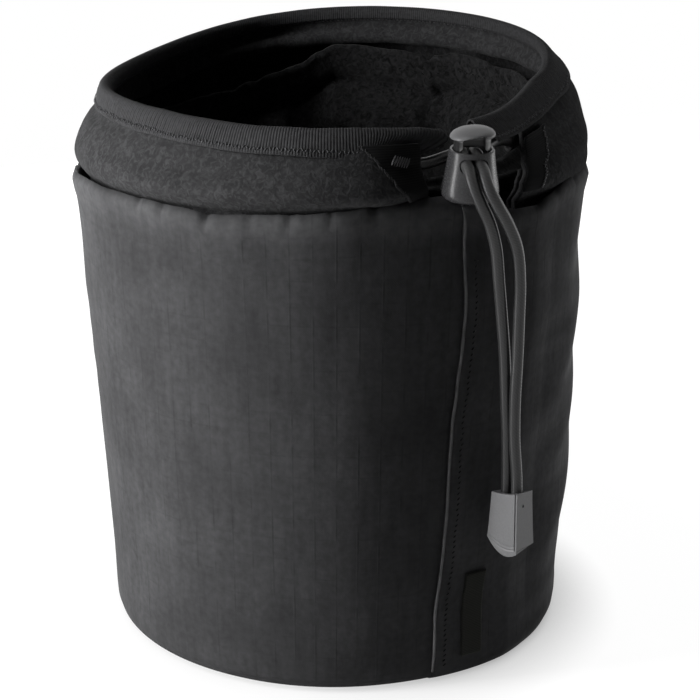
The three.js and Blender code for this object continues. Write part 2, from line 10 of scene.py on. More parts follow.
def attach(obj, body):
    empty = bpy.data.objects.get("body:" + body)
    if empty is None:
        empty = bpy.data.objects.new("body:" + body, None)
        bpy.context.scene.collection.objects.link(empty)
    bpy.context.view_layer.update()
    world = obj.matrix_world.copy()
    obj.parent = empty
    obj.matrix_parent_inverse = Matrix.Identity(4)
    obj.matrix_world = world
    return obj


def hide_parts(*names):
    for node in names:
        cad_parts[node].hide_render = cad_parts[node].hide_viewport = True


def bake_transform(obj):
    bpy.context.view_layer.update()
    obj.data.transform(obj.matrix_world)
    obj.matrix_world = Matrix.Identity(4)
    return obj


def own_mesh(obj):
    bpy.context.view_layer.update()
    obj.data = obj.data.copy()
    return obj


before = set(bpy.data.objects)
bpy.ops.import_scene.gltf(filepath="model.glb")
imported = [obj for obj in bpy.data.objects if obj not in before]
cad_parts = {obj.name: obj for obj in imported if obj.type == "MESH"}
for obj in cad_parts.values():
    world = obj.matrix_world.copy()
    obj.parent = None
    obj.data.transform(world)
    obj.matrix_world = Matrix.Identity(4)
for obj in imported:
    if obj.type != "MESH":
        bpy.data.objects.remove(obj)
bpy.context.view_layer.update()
scene = bpy.context.scene
scene.view_settings.view_transform = "Standard"

# Studio: the camera stands a little left of the front and looks slightly down. A tall softbox on the
# left is the key and a smaller one hangs above it. Two low ones draw the right edge and the back,
# below the mouth.
mm = 0.001
camera_lens = bpy.data.cameras.new("camera")
camera_lens.sensor_width = 36
camera_lens.lens = 74.62
camera_lens.shift_x = 0.0234
camera_lens.clip_start = 0.01
camera = bpy.data.objects.new("camera", camera_lens)
camera.location = (-0.1439, -0.2886, 0.1608)
camera.rotation_mode = "QUATERNION"
camera.rotation_quaternion = (Vector((0, 0, 0.0597)) - camera.location).to_track_quat("-Z", "Y")
scene.collection.objects.link(camera)
scene.camera = camera


def softbox(name, place, aim, width, height, power):
    lamp = bpy.data.lights.new(name, "AREA")
    lamp.shape = "RECTANGLE"
    lamp.size = width
    lamp.size_y = height
    lamp.energy = power
    holder = bpy.data.objects.new(name, lamp)
    holder.location = place
    holder.visible_camera = False
    holder.rotation_euler = (Vector(aim) - Vector(place)).to_track_quat("-Z", "Y").to_euler()
    scene.collection.objects.link(holder)


softbox("key_softbox", (-0.30, 0.035, 0.12), (0, 0, 0.06), width=0.06, height=0.30, power=1.15)
softbox("upper_softbox", (-0.28, -0.02, 0.48), (0, 0, 0.11), width=0.10, height=0.10, power=0.22)
softbox("edge_softbox", (0.45, -0.06, 0.10), (0, 0, 0.06), width=0.16, height=0.20, power=0.33)
softbox("back_softbox", (0.25, 0.60, 0.09), (0, 0, 0.06), width=0.40, height=0.16, power=2.4)


def put(tree, kind, inputs=None, **settings):
    made = tree.nodes.new(kind)
    for key, value in settings.items():
        setattr(made, key, value)
    for key, value in (inputs or {}).items():
        if isinstance(value, bpy.types.NodeSocket):
            tree.links.new(value, made.inputs[key])
        else:
            made.inputs[key].default_value = value
    return made


def reckon(tree, operation, *terms):
    return put(tree, "ShaderNodeMath", dict(enumerate(terms)), operation=operation).outputs[0]


def carried(tree, value, start, end, low=0.0, high=1.0, easing="LINEAR"):
    """The value, carried over from the range of start to end to that of low to high."""
    ranges = {"Value": value, "From Min": start, "From Max": end, "To Min": low, "To Max": high}
    return put(tree, "ShaderNodeMapRange", ranges, interpolation_type=easing).outputs[0]


def spot_of(tree):
    return put(tree, "ShaderNodeTexCoord").outputs["Object"]


def parts_of(tree, place):
    return put(tree, "ShaderNodeSeparateXYZ", {0: place}).outputs


def seen_directly(tree):
    """1 for what the camera, a reflection or a clear surface sees, 0 for the light that falls on things."""
    path = put(tree, "ShaderNodeLightPath").outputs
    seen = reckon(tree, "MAXIMUM", path["Is Camera Ray"], path["Is Glossy Ray"])
    return reckon(tree, "MAXIMUM", seen, path["Is Transmission Ray"])


fill_light = 0.006
studio = bpy.data.worlds.new("studio")
studio.use_nodes = True
scene.world = studio
surround = studio.node_tree.nodes["Background"]
surround.inputs["Color"].default_value = (1, 1, 1, 1)
surround_level = carried(studio.node_tree, seen_directly(studio.node_tree), 0.0, 1.0, fill_light)
studio.node_tree.links.new(surround_level, surround.inputs["Strength"])

# the floor's glow carries a painted shadow: it is dimmed a little near the object, and by ambient
# occlusion, more on its right than on its left
shadow_reach, shadow_end = 0.09, 0.16
contact_reach = 0.016
floor_material = bpy.data.materials.new("pale_floor")
floor_material.use_nodes = True
floor_tree = floor_material.node_tree
floor_tree.nodes.remove(floor_tree.nodes["Principled BSDF"])
floor_spot = spot_of(floor_tree)
floor_reach = put(floor_tree, "ShaderNodeVectorMath", {0: floor_spot}, operation="LENGTH")
floor_far = carried(floor_tree, floor_reach.outputs["Value"], shadow_reach, shadow_end, 0.96, 1.0,
                    "SMOOTHSTEP")
floor_side = carried(floor_tree, parts_of(floor_tree, floor_spot)["X"], -0.03, 0.05, 0.25, 0.95)
floor_near = put(floor_tree, "ShaderNodeAmbientOcclusion", {"Distance": contact_reach}).outputs["AO"]
floor_painted_shadow = put(floor_tree, "ShaderNodeMix", {0: floor_side, 2: 1.0, 3: floor_near}).outputs[0]
floor_shade = reckon(floor_tree, "MULTIPLY", floor_far, floor_painted_shadow)
floor_lift = reckon(floor_tree, "MULTIPLY", seen_directly(floor_tree), floor_shade)
floor_glow = put(floor_tree, "ShaderNodeEmission", {"Color": (1, 1, 1, 1), "Strength": floor_lift})
floor_path = put(floor_tree, "ShaderNodeLightPath").outputs
floor_bounce = carried(floor_tree, floor_path["Is Camera Ray"], 0.0, 1.0, 0.75, 0.25)
floor_paint = put(floor_tree, "ShaderNodeBsdfDiffuse", {"Color": floor_bounce})
floor_sum = put(floor_tree, "ShaderNodeAddShader", {0: floor_glow.outputs[0], 1: floor_paint.outputs[0]})
floor_tree.links.new(floor_sum.outputs[0], floor_tree.nodes["Material Output"].inputs["Surface"])
floor_mesh = bpy.data.meshes.new("floor")
floor_form = bmesh.new()
bmesh.ops.create_grid(floor_form, x_segments=1, y_segments=1, size=0.6)
bmesh.ops.translate(floor_form, verts=floor_form.verts, vec=(0, 0, -0.0002))
floor_form.to_mesh(floor_mesh)
floor_form.free()
floor_mesh.materials.append(floor_material)
floor = bpy.data.objects.new("floor", floor_mesh)
scene.collection.objects.link(floor)

# Drawcord: one length of round elastic, a rubber core in a black braided sheath. It runs round the mouth
# in its tunnel, crosses to the cord lock, passes through it as a pair, and hangs down to a clip.
cord_radius = 1.15
cord_strand = 1.3
cord_sides, cord_step = 24, 0.22
braid_pitch, braid_relief = 1.5, 0.03


def smooth_line(points, spacing):
    """Points evenly spaced on a smooth line through the given ones, without loops where they lie close."""
    points = [Vector(p) for p in points]
    ends = [2 * points[0] - points[1], *points, 2 * points[-1] - points[-2]]
    fine = []
    for a, b, c, d in zip(ends, ends[1:], ends[2:], ends[3:]):
        t1 = (b - a).length ** 0.5
        t2 = t1 + (c - b).length ** 0.5
        t3 = t2 + (d - c).length ** 0.5
        for step in range(24):
            t = t1 + (t2 - t1) * step / 24
            share = (t - t1) / (t2 - t1)
            ab, bc, cd = a.lerp(b, t / t1), b.lerp(c, share), c.lerp(d, (t - t2) / (t3 - t2))
            fine.append(ab.lerp(bc, t / t2).lerp(bc.lerp(cd, (t - t1) / (t3 - t1)), share))
    fine.append(points[-1])
    lengths = [0.0]
    for a, b in zip(fine, fine[1:]):
        lengths.append(lengths[-1] + (b - a).length)
    count = max(2, round(lengths[-1] / spacing))
    line, at = [], 0
    for i in range(count + 1):
        goal = lengths[-1] * i / count
        while at < len(fine) - 2 and lengths[at + 1] < goal:
            at += 1
        span = lengths[at + 1] - lengths[at]
        line.append(fine[at].lerp(fine[at + 1], min(1.0, (goal - lengths[at]) / max(span, 1e-9))))
    return line


def line_frames(line, first_side=None):
    """For each point of a line, its direction and the two directions across it, without any twist."""
    last = len(line) - 1
    ways = [(line[min(i + 1, last)] - line[max(i - 1, 0)]).normalized() for i in range(len(line))]
    side = (first_side or ways[0].orthogonal()).normalized()
    frames = []
    for way in ways:
        side = (side - way * side.dot(way)).normalized()
        frames.append((way, side, way.cross(side)))
    return frames


def laid_cut(columns, rows, cut, place):
    """A flat cut of cloth, each of whose points goes where place(across, up) says, both from 0 to 1 and
    the place in millimetres. Its UV map is the cut itself, in metres. Edges that meet are joined."""
    form = bmesh.new()
    bmesh.ops.create_grid(form, x_segments=columns, y_segments=rows, size=0.5)
    low = min(v.co.x for v in form.verts)
    wide = -2 * low
    flat = form.loops.layers.uv.new("cut")
    for face in form.faces:
        for corner in face.loops:
            corner[flat].uv = ((corner.vert.co.x / wide + 0.5) * cut[0] * mm,
                               (corner.vert.co.y / wide + 0.5) * cut[1] * mm)
    for v in form.verts:
        v.co = Vector(place(v.co.x / wide + 0.5, v.co.y / wide + 0.5)) * mm
    bmesh.ops.remove_doubles(form, verts=form.verts, dist=1e-7)
    return form


def piece_of(form, name, material, nodes=()):
    mesh = bpy.data.meshes.new(name)
    form.to_mesh(mesh)
    form.free()
    mesh.shade_smooth()
    mesh.materials.append(material)
    piece = bpy.data.objects.new(name, mesh)
    scene.collection.objects.link(piece)
    if nodes:
        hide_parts(*nodes)
    return piece


def finish_of(name, colour, roughness, specular, sheen=0.0, sheen_roughness=0.5):
    material = bpy.data.materials.new(name)
    material.use_nodes = True
    shader = material.node_tree.nodes["Principled BSDF"]
    shader.inputs["Base Color"].default_value = (*colour, 1)
    shader.inputs["Roughness"].default_value = roughness
    shader.inputs["Specular IOR Level"].default_value = specular
    shader.inputs["Sheen Weight"].default_value = sheen
    shader.inputs["Sheen Roughness"].default_value = sheen_roughness
    return material, material.node_tree, shader


def raise_by(tree, shader, height, strength, depth):
    bump = put(tree, "ShaderNodeBump", {"Height": height, "Strength": strength, "Distance": depth})
    tree.links.new(bump.outputs[0], shader.inputs["Normal"])


def cut_of(tree):
    return put(tree, "ShaderNodeUVMap", uv_map="cut").outputs[0]


def mottle(tree, place, scale, detail=2.0, roughness=0.5, distortion=0.0):
    inputs = {"Vector": place, "Scale": scale, "Detail": detail}
    inputs.update({"Roughness": roughness, "Distortion": distortion})
    return put(tree, "ShaderNodeTexNoise", inputs).outputs["Fac"]


def strands(tree, place, scale, direction, distortion=0.0, detail=2.0, detail_scale=1.0):
    inputs = {"Vector": place, "Scale": scale, "Distortion": distortion}
    inputs.update({"Detail": detail, "Detail Scale": detail_scale})
    return put(tree, "ShaderNodeTexWave", inputs, bands_direction=direction).outputs["Fac"]


def tone_between(tree, share, dark, light):
    """A colour from the dark tone, at a share of 0, to the light one, at 1."""
    tones = [tone if isinstance(tone, bpy.types.NodeSocket) else (*tone, 1) for tone in (dark, light)]
    return put(tree, "ShaderNodeMix", {0: share, 6: tones[0], 7: tones[1]}, data_type="RGBA").outputs[2]


def colour_by(tree, shader, share, dark, light):
    tree.links.new(tone_between(tree, share, dark, light), shader.inputs["Base Color"])


def tube(line, frames, sides, cut, reach):
    """A closed round tube on a line in millimetres; reach(i, turn) is its radius at point i and a turn."""
    def place(across, up):
        i = round(up * (len(line) - 1))
        side, other = frames[i][1:]
        turn = 2 * math.pi * across
        return line[i] + (side * math.cos(turn) + other * math.sin(turn)) * reach(i, turn)

    form = laid_cut(sides, len(line) - 1, cut, place)
    bmesh.ops.holes_fill(form, edges=[e for e in form.edges if e.is_boundary], sides=0)
    bmesh.ops.recalc_face_normals(form, faces=form.faces)
    return form


def braid(line, radius, sides, step):
    """A braided cord on a line of points a step apart, with the sheath's crossing strands raised on it."""
    carriers = sides // 3

    def reach(i, turn):
        along = 2 * math.pi * i * step / braid_pitch
        crossing = math.sin(carriers * turn + along) * math.sin(carriers * turn - along)
        return radius + braid_relief * crossing

    return tube(line, line_frames(line), sides, (2 * math.pi * radius, step * (len(line) - 1)), reach)


cord_finish, cord_tree, cord_shader = finish_of(
    "braided_elastic", (0.035, 0.035, 0.036), roughness=0.42, specular=0.3)
cord_threads = strands(cord_tree, cut_of(cord_tree), 900.0, "DIAGONAL", distortion=1.5, detail=1.0)
colour_by(cord_tree, cord_shader, cord_threads, (0.03, 0.03, 0.0305), (0.042, 0.042, 0.043))
cord_round = put(cord_tree, "ShaderNodeTangent", direction_type="UV_MAP", uv_map="cut")
cord_tree.links.new(cord_round.outputs[0], cord_shader.inputs["Tangent"])
cord_shader.inputs["Anisotropic"].default_value = 0.85
cord_shader.inputs["Anisotropic Rotation"].default_value = 0.25
raise_by(cord_tree, cord_shader, cord_threads, strength=0.07, depth=0.0001)

# the lock's own frame: across the pair of cords, along them, up its barrel, and its foot
lock_frame = Matrix(((0.91355, 0.40278, -0.05661, -0.8), (-0.40674, 0.90465, -0.12714, -59.0),
                     (0.0, 0.13917, 0.99027, 106.4), (0, 0, 0, 1)))
lock_hole_height = 7.4
lock_hole_reach = 4.75
tail_middle = ((-3.8, -66.0, 112.6), (-4.2, -67.4, 111.5), (-4.1, -68.4, 109.7), (-3.1, -68.6, 107.0),
               (-1.2, -68.0, 103.2), (1.2, -66.9, 98.0), (3.8, -65.4, 91.0), (6.0, -64.0, 83.5),
               (7.8, -62.9, 75.0), (9.0, -62.0, 66.0), (9.8, -61.3, 57.0), (10.1, -60.9, 49.0),
               (10.1, -60.9, 41.6))
lock_turn, clip_turn = math.radians(-24), math.radians(-70)
turned_by = 11
tail_sway = {"left": (0, 0, 0.1, 0.4, 0.8, 0.65, -0.1, -0.5, -0.65, -0.65, -0.4, -0.1, 0),
             "right": (0, 0, 0.2, 0.8, 1.7, 2.3, 1.7, 0.6, -0.4, -1.1, -1.1, -0.3, 0)}
for side_name, side in (("left", -1), ("right", 1)):
    tail_points = [lock_frame @ Vector((side * cord_strand, y, lock_hole_height))
                   for y in (5.6, 0.0, -lock_hole_reach)]
    for i, middle in enumerate(tail_middle):
        turn = lock_turn + (clip_turn - lock_turn) * min(1, (i + 1) / turned_by)
        beside = side * cord_strand * Vector((math.cos(turn), math.sin(turn), 0))
        tail_points.append(Vector(middle) + beside + Vector((tail_sway[side_name][i], 0, 0)))
    tail_line = smooth_line(tail_points, cord_step)
    tail_form = braid(tail_line, cord_radius, cord_sides, cord_step)
    tail = piece_of(tail_form, f"tail_cord_{side_name}", cord_finish,
                    (f"drawcord_tail_{side_name}", f"cord_through_{side_name}"))
    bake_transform(tail)

# the mouth's waves round the bearing, which runs from the front towards +X: its rise and its reach
body_height = 105.0
mouth_rise = ((-5.98, 4.82), (-0.32, -1.19), (-0.26, 0.0))
mouth_reach = ((0.0, 0.0), (-0.2, -1.79), (1.18, -0.86), (0.94, -0.57))
mouth_settle = 11.0
mouth_left = ((113, 0.0), (117, 0.3), (119, 0.2), (120.2, -0.8), (121, -0.8), (122.2, -0.3), (124.3, 0.6),
              (126, 1.4))
mouth_right = ((105, 0.0), (108, 0.2), (112, 1.1), (117, 1.7), (119.5, 1.4), (121, 0.9), (124, -0.2),
               (126, -0.4))


def clamped(share):
    return min(1.0, max(0.0, share))


def between(stations, at):
    """The value at a place among stations of (place, value), easing from each to the next."""
    for (a, low), (b, high) in zip(stations, stations[1:]):
        if at <= b:
            share = clamped((at - a) / (b - a))
            return low + (high - low) * share * share * (3 - 2 * share)
    return stations[-1][1]


def degrees_from(bearing, centre):
    return (math.degrees(bearing) - centre + 180) % 360 - 180


def hump(bearing, centre, width):
    """A soft rise from 0 to 1 and back round a bearing; its centre and half-width are in degrees."""
    away = degrees_from(bearing, centre)
    return math.cos(math.pi / 2 * away / width) ** 2 if abs(away) < width else 0.0


def wave(terms, bearing):
    return sum(c * math.cos(n * bearing) + s * math.sin(n * bearing) for n, (c, s) in enumerate(terms, 1))


def round_place(bearing, radius, height):
    return Vector((radius * math.sin(bearing), -radius * math.cos(bearing), height))


def mouth_place(bearing, radius, height):
    share = clamped((height - body_height) / mouth_settle)
    sides = (hump(bearing, -106, 58) * between(mouth_left, height)
             + hump(bearing, 58, 60) * between(mouth_right, height))
    return round_place(bearing, radius + share * wave(mouth_reach, bearing) + sides,
                       height + share * wave(mouth_rise, bearing))


tunnel_radius, tunnel_height = 48.85, 118.35
left_exit, right_exit = math.radians(-9.0), math.radians(17.5)
bridge_lift = ((8.0, 0.0), (4.0, 0.3), (0.0, 1.3), (-2.6, 1.6))
bridge_end = ((7.65, 0.5, 1.1), (5.35, 0.0, 0.6), (4.2, 0.0, 0.2))
for side_name, side, exit_bearing, arch in (("left", -1, left_exit, 0.4), ("right", 1, right_exit, 1.0)):
    inside = [mouth_place(exit_bearing + side * step / tunnel_radius, tunnel_radius, tunnel_height)
              + Vector((0, 0, lift * arch)) for step, lift in bridge_lift]
    to_lock = [lock_frame @ Vector((side * (cord_strand + sway), y, lock_hole_height - drop))
               for y, sway, drop in bridge_end]
    bridge_form = braid(smooth_line(inside + to_lock, cord_step), cord_radius, cord_sides, cord_step)
    bridge = piece_of(bridge_form, f"bridge_cord_{side_name}", cord_finish,
                      (f"drawcord_bridge_{side_name}",))
    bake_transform(bridge)

loop_stations, loop_sides, loop_step = 72, 12, 0.8
loop_sweep = 2 * math.pi + left_exit - right_exit
loop_points = [mouth_place(right_exit + loop_sweep * i / loop_stations, tunnel_radius, tunnel_height)
               for i in range(1, loop_stations)]
loop_form = braid(smooth_line(loop_points, loop_step), cord_radius, loop_sides, loop_step)
loop = piece_of(loop_form, "loop_cord", cord_finish, ("drawcord_loop",))
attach(loop, "pouch")

# Base: a disc of the same coated ripstop as the wall, its edge drawn up all round and sewn to the wall's
# foot. It stands on the ring where it turns up.
tub_round = 56.0
base_round = 3.5
base_flat = 48.5
foot_fullness = ((0, 1.3), (4, 1.6), (10, 0.9), (22, 0.0))
full_side = (26, 42)
grid_pitch, thread_pitch = 0.0046, 0.00045


def ripple(bearing, height, across, along, seed):
    """A smooth random wave from about -1 to 1 on the tub's round, of these lengths in millimetres."""
    tight = tub_round / across
    place = (tight * math.sin(bearing), tight * math.cos(bearing), height / along + seed)
    return noise.noise(Vector(place))


def ripstop_finish(name):
    """Plain weave with thicker threads in a square grid, and a coating that catches the light unevenly."""
    material, tree, shader = finish_of(name, (0.08, 0.08, 0.082), roughness=0.5, specular=0.004)
    flat = cut_of(tree)
    parts = parts_of(tree, flat)
    lines = []
    threads = []
    for direction in ("X", "Y"):
        share = reckon(tree, "PINGPONG", reckon(tree, "MULTIPLY", parts[direction], 1 / grid_pitch), 0.5)
        lines.append(carried(tree, share, 0.0, 0.075, 1.0, 0.0, "SMOOTHSTEP"))
        turn = reckon(tree, "MULTIPLY", parts[direction], 2 * math.pi / thread_pitch)
        threads.append(reckon(tree, "SINE", turn))
    squares = reckon(tree, "MAXIMUM", lines[0], reckon(tree, "MULTIPLY", lines[1], 0.5))
    weave = reckon(tree, "MULTIPLY", *threads)
    cloud = mottle(tree, flat, 45.0, detail=5.0, roughness=0.6)
    slub = mottle(tree, flat, 650.0, detail=3.0)
    kept = carried(tree, mottle(tree, flat, 140.0), 0.4, 0.62)
    grid = reckon(tree, "MULTIPLY", squares, kept)

    # the tone: uneven coating, streaks along the warp, and darker lines where the grid is least worn
    upright = put(tree, "ShaderNodeMapping", {"Vector": flat, "Scale": (1.0, 0.16, 1.0)}).outputs[0]
    streaked = reckon(tree, "ADD", slub, mottle(tree, upright, 420.0, detail=3.0))
    mottled = reckon(tree, "MULTIPLY", cloud, reckon(tree, "MULTIPLY", streaked, 0.5))
    tone = carried(tree, mottled, 0.12, 0.40, 0.72, 1.32)
    patchy = carried(tree, cloud, 0.35, 0.65, -0.05, -0.22)
    level = reckon(tree, "MULTIPLY", tone, reckon(tree, "MULTIPLY_ADD", grid, patchy, 1.0))

    # painted fold shade: slanting lighter and darker bands to the right of the lap; then a painted
    # highlight, the paler ridge below the collar
    slant = {"Vector": flat, "Rotation": (0, 0, math.radians(-33)), "Scale": (0.1, 1.0, 1.0)}
    slanted = put(tree, "ShaderNodeMapping", slant).outputs[0]
    painted_fold_shade = carried(tree, mottle(tree, slanted, 130.0, detail=1.0), 0.38, 0.66, -0.12, 0.5)
    begun = reckon(tree, "MULTIPLY", painted_fold_shade, carried(tree, parts["X"], 0.012, 0.04))
    ended = carried(tree, parts["X"], 0.08, 0.11, 1.0, 0.0)
    level = reckon(tree, "MULTIPLY", level, reckon(tree, "MULTIPLY_ADD", begun, ended, 1.0))
    # painted highlight: the colour grows up to a third lighter on the wall's rolled ridge at its top, below
    # the collar
    height = parts_of(tree, spot_of(tree))["Z"]
    level = reckon(tree, "MULTIPLY", level, carried(tree, height, 0.0965, 0.101, 1.0, 1.35, "SMOOTHSTEP"))
    colour = put(tree, "ShaderNodeMix", {0: 1.0, 6: (0.08, 0.08, 0.0825, 1), 7: level}, data_type="RGBA",
                 blend_type="MULTIPLY")
    tree.links.new(colour.outputs[2], shader.inputs["Base Color"])
    relief = reckon(tree, "MULTIPLY_ADD", grid, 0.5, reckon(tree, "MULTIPLY", weave, 0.08))
    raise_by(tree, shader, reckon(tree, "ADD", relief, slub), strength=0.4, depth=0.00012)
    return material


ripstop = ripstop_finish("ripstop_nylon")


def base_place(across, up):
    bearing = 2 * math.pi * across
    reach = up * (base_flat + base_round * math.pi / 2)
    fuller = hump(bearing, *full_side)
    if reach <= base_flat:
        wider = 1 + between(foot_fullness, 0) * fuller / base_flat
        return round_place(bearing, max(reach, 0.001) * wider, 0.25 * (1 - (reach / base_flat) ** 6))
    turn = (reach - base_flat) / base_round
    height = base_round * (1 - math.cos(turn))
    wider = between(foot_fullness, height) * fuller
    return round_place(bearing, base_flat + base_round * math.sin(turn) + wider, height)


base_form = laid_cut(columns=144, rows=40, cut=(330, 54), place=base_place)
bmesh.ops.remove_doubles(base_form, verts=base_form.verts, dist=0.00002)
for face in base_form.faces:
    for corner in face.loops:
        corner[base_form.loops.layers.uv["cut"]].uv = corner.vert.co.xy
bmesh.ops.reverse_faces(base_form, faces=base_form.faces)
bmesh.ops.recalc_face_normals(base_form, faces=base_form.faces)
base = piece_of(base_form, "base_cloth", ripstop, ("base_panel",))
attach(base, "pouch")


# Padding: a strip of closed-cell foam rolled inside the wall and a disc of it on the base, both hidden by
# the lining and held by the seams.
tub_foot_radius = 52.0
wall_gap = 1.1
foam_disc_radius, foam_disc_thickness, foam_disc_middle = 48.5, 4.0, 3.1
foam_finish, foam_tree, foam_shader = finish_of(
    "closed_cell_foam", (0.09, 0.09, 0.093), roughness=0.95, specular=0.2)
foam_pores = put(foam_tree, "ShaderNodeTexVoronoi", {"Vector": spot_of(foam_tree), "Scale": 2500.0})
foam_cells = foam_pores.outputs["Distance"]
colour_by(foam_tree, foam_shader, foam_cells, (0.05, 0.05, 0.052), (0.12, 0.12, 0.123))
raise_by(foam_tree, foam_shader, foam_cells, strength=0.4, depth=0.0002)


def tub_radius(height):
    return tub_foot_radius + (tub_round - tub_foot_radius) * height / body_height


foam_profile = ((0.0, 5.9), (0.35, 5.5), (2.0, 5.4), (3.65, 5.5), (4.0, 5.9), (4.0, 98.5), (3.65, 98.9),
                (2.0, 99.0), (0.35, 98.9), (0.0, 98.5))
foam_form = bmesh.new()
foam_ring = []
for depth, height in foam_profile:
    foam_spot = round_place(0, tub_radius(height) - wall_gap - depth, height)
    foam_ring.append(foam_form.verts.new(foam_spot * mm))
foam_edges = [foam_form.edges.new((a, b)) for a, b in zip(foam_ring, foam_ring[1:] + foam_ring[:1])]
bmesh.ops.spin(foam_form, geom=foam_ring + foam_edges, cent=(0, 0, 0), axis=(0, 0, 1), angle=2 * math.pi,
               steps=96, use_merge=True)
bmesh.ops.recalc_face_normals(foam_form, faces=foam_form.faces)
foam_wall = piece_of(foam_form, "wall_padding", foam_finish, ("foam_wall",))
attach(foam_wall, "pouch")

foam_disc = bmesh.new()
bmesh.ops.create_cone(foam_disc, cap_ends=True, segments=96, radius1=foam_disc_radius * mm,
                      radius2=foam_disc_radius * mm, depth=foam_disc_thickness * mm)
bmesh.ops.translate(foam_disc, verts=foam_disc.verts, vec=(0, 0, foam_disc_middle * mm))
foam_rims = [e for e in foam_disc.edges if len(e.link_faces) == 2 and e.calc_face_angle() > 1]
bmesh.ops.bevel(foam_disc, geom=foam_rims, offset=0.6 * mm, offset_type="OFFSET", segments=3, profile=0.5,
                affect="EDGES", material=-1)
foam_base = piece_of(foam_disc, "base_padding", foam_finish, ("foam_base",))
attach(foam_base, "pouch")

# Outer wall: one panel of coated ripstop wrapped round the padding. Its right edge is turned under, lapped
# over the left one at the front and topstitched; its top edge is turned in and gathered to the collar's
# seam.
ripstop_thickness = 0.5
wall_cut = (364, 108)
lap_width, lap_step = 12.0, 1.1
lap_step_start, lap_step_run = 0.345, 0.143
lap_fold, lap_fold_reach = 0.75, 0.35
lap_edge_reach = 60.0
wall_sweep = 2 * math.pi + lap_width / tub_round
seam_height = 104.4
wall_profile = ((-2.2, 0.25), (-1.45, 0.45), (-0.75, 1.0), (-0.3, 2.0), (-0.08, 3.4), (0.0, 6.0),
                (0.0, 96.0), (0.1, 98.5), (0.35, 100.2), (0.72, 101.0), (0.82, 101.6), (0.6, 102.3),
                (0.15, 103.3), (-0.25, 104.1), (-0.6, 104.4), (-0.95, 104.2), (-1.3, 103.2))
lap_edge = ((0, -3.2), (11, -3.1), (16, -3.2), (20, -2.9), (22.5, -2.5), (28, -2.05), (34, -1.7),
            (40, -1.35), (48, -1.3), (59, -1.05), (67, -0.4), (76, 0.3), (82, 0.6), (86, 0.5), (92, 0.0),
            (98, -0.5), (106, -1.2))
wall_top = ((-180, 105.0), (-150, 105.3), (-120, 105.0), (-108, 104.8), (-88, 105.6), (-80, 105.1),
            (-69, 104.8), (-59, 104.2), (-51, 103.6), (-41, 104.1), (-33, 104.4), (-25, 105.1),
            (-18, 106.0), (-10, 107.0), (-5, 107.3), (0, 106.5), (5, 104.5), (11, 103.3), (18, 103.2),
            (24, 104.6), (33, 106.2), (45, 106.2), (65, 105.7), (90, 105.2), (120, 105.5), (150, 105.1),
            (180, 105.0))
wall_left = ((50, 0.1), (57, 0.25), (65, 0.65), (72, 0.95), (80, 1.35), (105, 1.35))
wall_right = ((0, 0.3), (8, 0.8), (20, 1.1), (50, 0.8), (75, 0.5), (92, 0.1), (105, 0.0))
seam_bites = ((-172, 0.6), (-158, 1.0), (-147, 0.5), (-136, 0.8), (-124, 0.6), (-113, 0.9), (-101, 0.5),
              (-90, 0.6), (-80, 0.4), (-70, 0.9), (-63.5, 0.8), (-52.5, 1.5), (-43, 0.5), (-35, 0.7),
              (-27, 0.6), (-18.5, 0.5), (27, 0.4), (37, 0.5), (48, 0.4), (60, 0.6), (73, 0.5), (84, 0.9),
              (97, 0.6), (109, 0.8), (121, 0.5), (133, 1.0), (146, 0.6), (159, 0.7), (170, 0.5))

profile_lengths = [0.0]
for (r0, z0), (r1, z1) in zip(wall_profile, wall_profile[1:]):
    profile_lengths.append(profile_lengths[-1] + math.hypot(r1 - r0, z1 - z0))


def crowded(up):
    """Draws the rows of the cut towards its two sewn edges."""
    return up + 0.125 * math.sin(2 * math.pi * up)

def wall_profile_at(up):
    """Offset and height on the wall's section."""
    goal = profile_lengths[-1] * clamped(crowded(up))
    for i, length in enumerate(profile_lengths[1:]):
        if goal <= length + 1e-9:
            share = (goal - profile_lengths[i]) / (length - profile_lengths[i])
            (r0, z0), (r1, z1) = wall_profile[i], wall_profile[i + 1]
            return r0 + (r1 - r0) * share, z0 + (z1 - z0) * share
    return wall_profile[-1]


def seam_bite(bearing):
    """How deep the seam's gathers bite into the rolled top edge; the cloth puffs up beside each bite."""
    bite = 0.0
    for at, depth in seam_bites:
        away = abs(degrees_from(bearing, at)) * 0.98
        if away < 7:
            puffed = 0.18 * math.exp(-((away - 2.4) / 1.3) ** 2)
            bite += 0.6 * depth * (math.exp(-(away / 0.9) ** 2) - puffed)
    return bite


def wall_swell(bearing, height):
    """How far the cloth stands out from the padding: its settled sides, soft flutes, and drag lines and
    gathers below the seam."""
    below = max(0.0, seam_height - height)
    settled = (hump(bearing, -107, 52) * between(wall_left, height)
               + hump(bearing, 53, 48) * between(wall_right, height)
               + hump(bearing, *full_side) * between(foot_fullness, height))
    flutes = 0.45 * ripple(bearing, height, 30, 150, 3.1) + 0.22 * ripple(bearing, height, 11, 60, 7.7)
    slack = 0.55 * ripple(bearing + 0.004 * height, height, 45, 40, 11.2)
    gathers = -seam_bite(bearing) * math.exp(-(below / 2.6) ** 2)
    puff = 0.25 * ripple(bearing, height, 8, 9, 21.5) * math.exp(-(below - 2) ** 2 / 18)
    drape = 0.9 * hump(bearing, 50, 45) * ripple(bearing - 0.025 * height, height, 20, 110, 61.3)
    drag = 0.4 * ripple(bearing - 0.012 * below, height, 9, 45, 41.8) * math.exp(-below / 16.0)
    foot = clamped((height - 3.0) / 12.0)
    return settled + (flutes + slack + drape) * foot * min(1.0, 0.25 + below / 20) + gathers + puff + drag


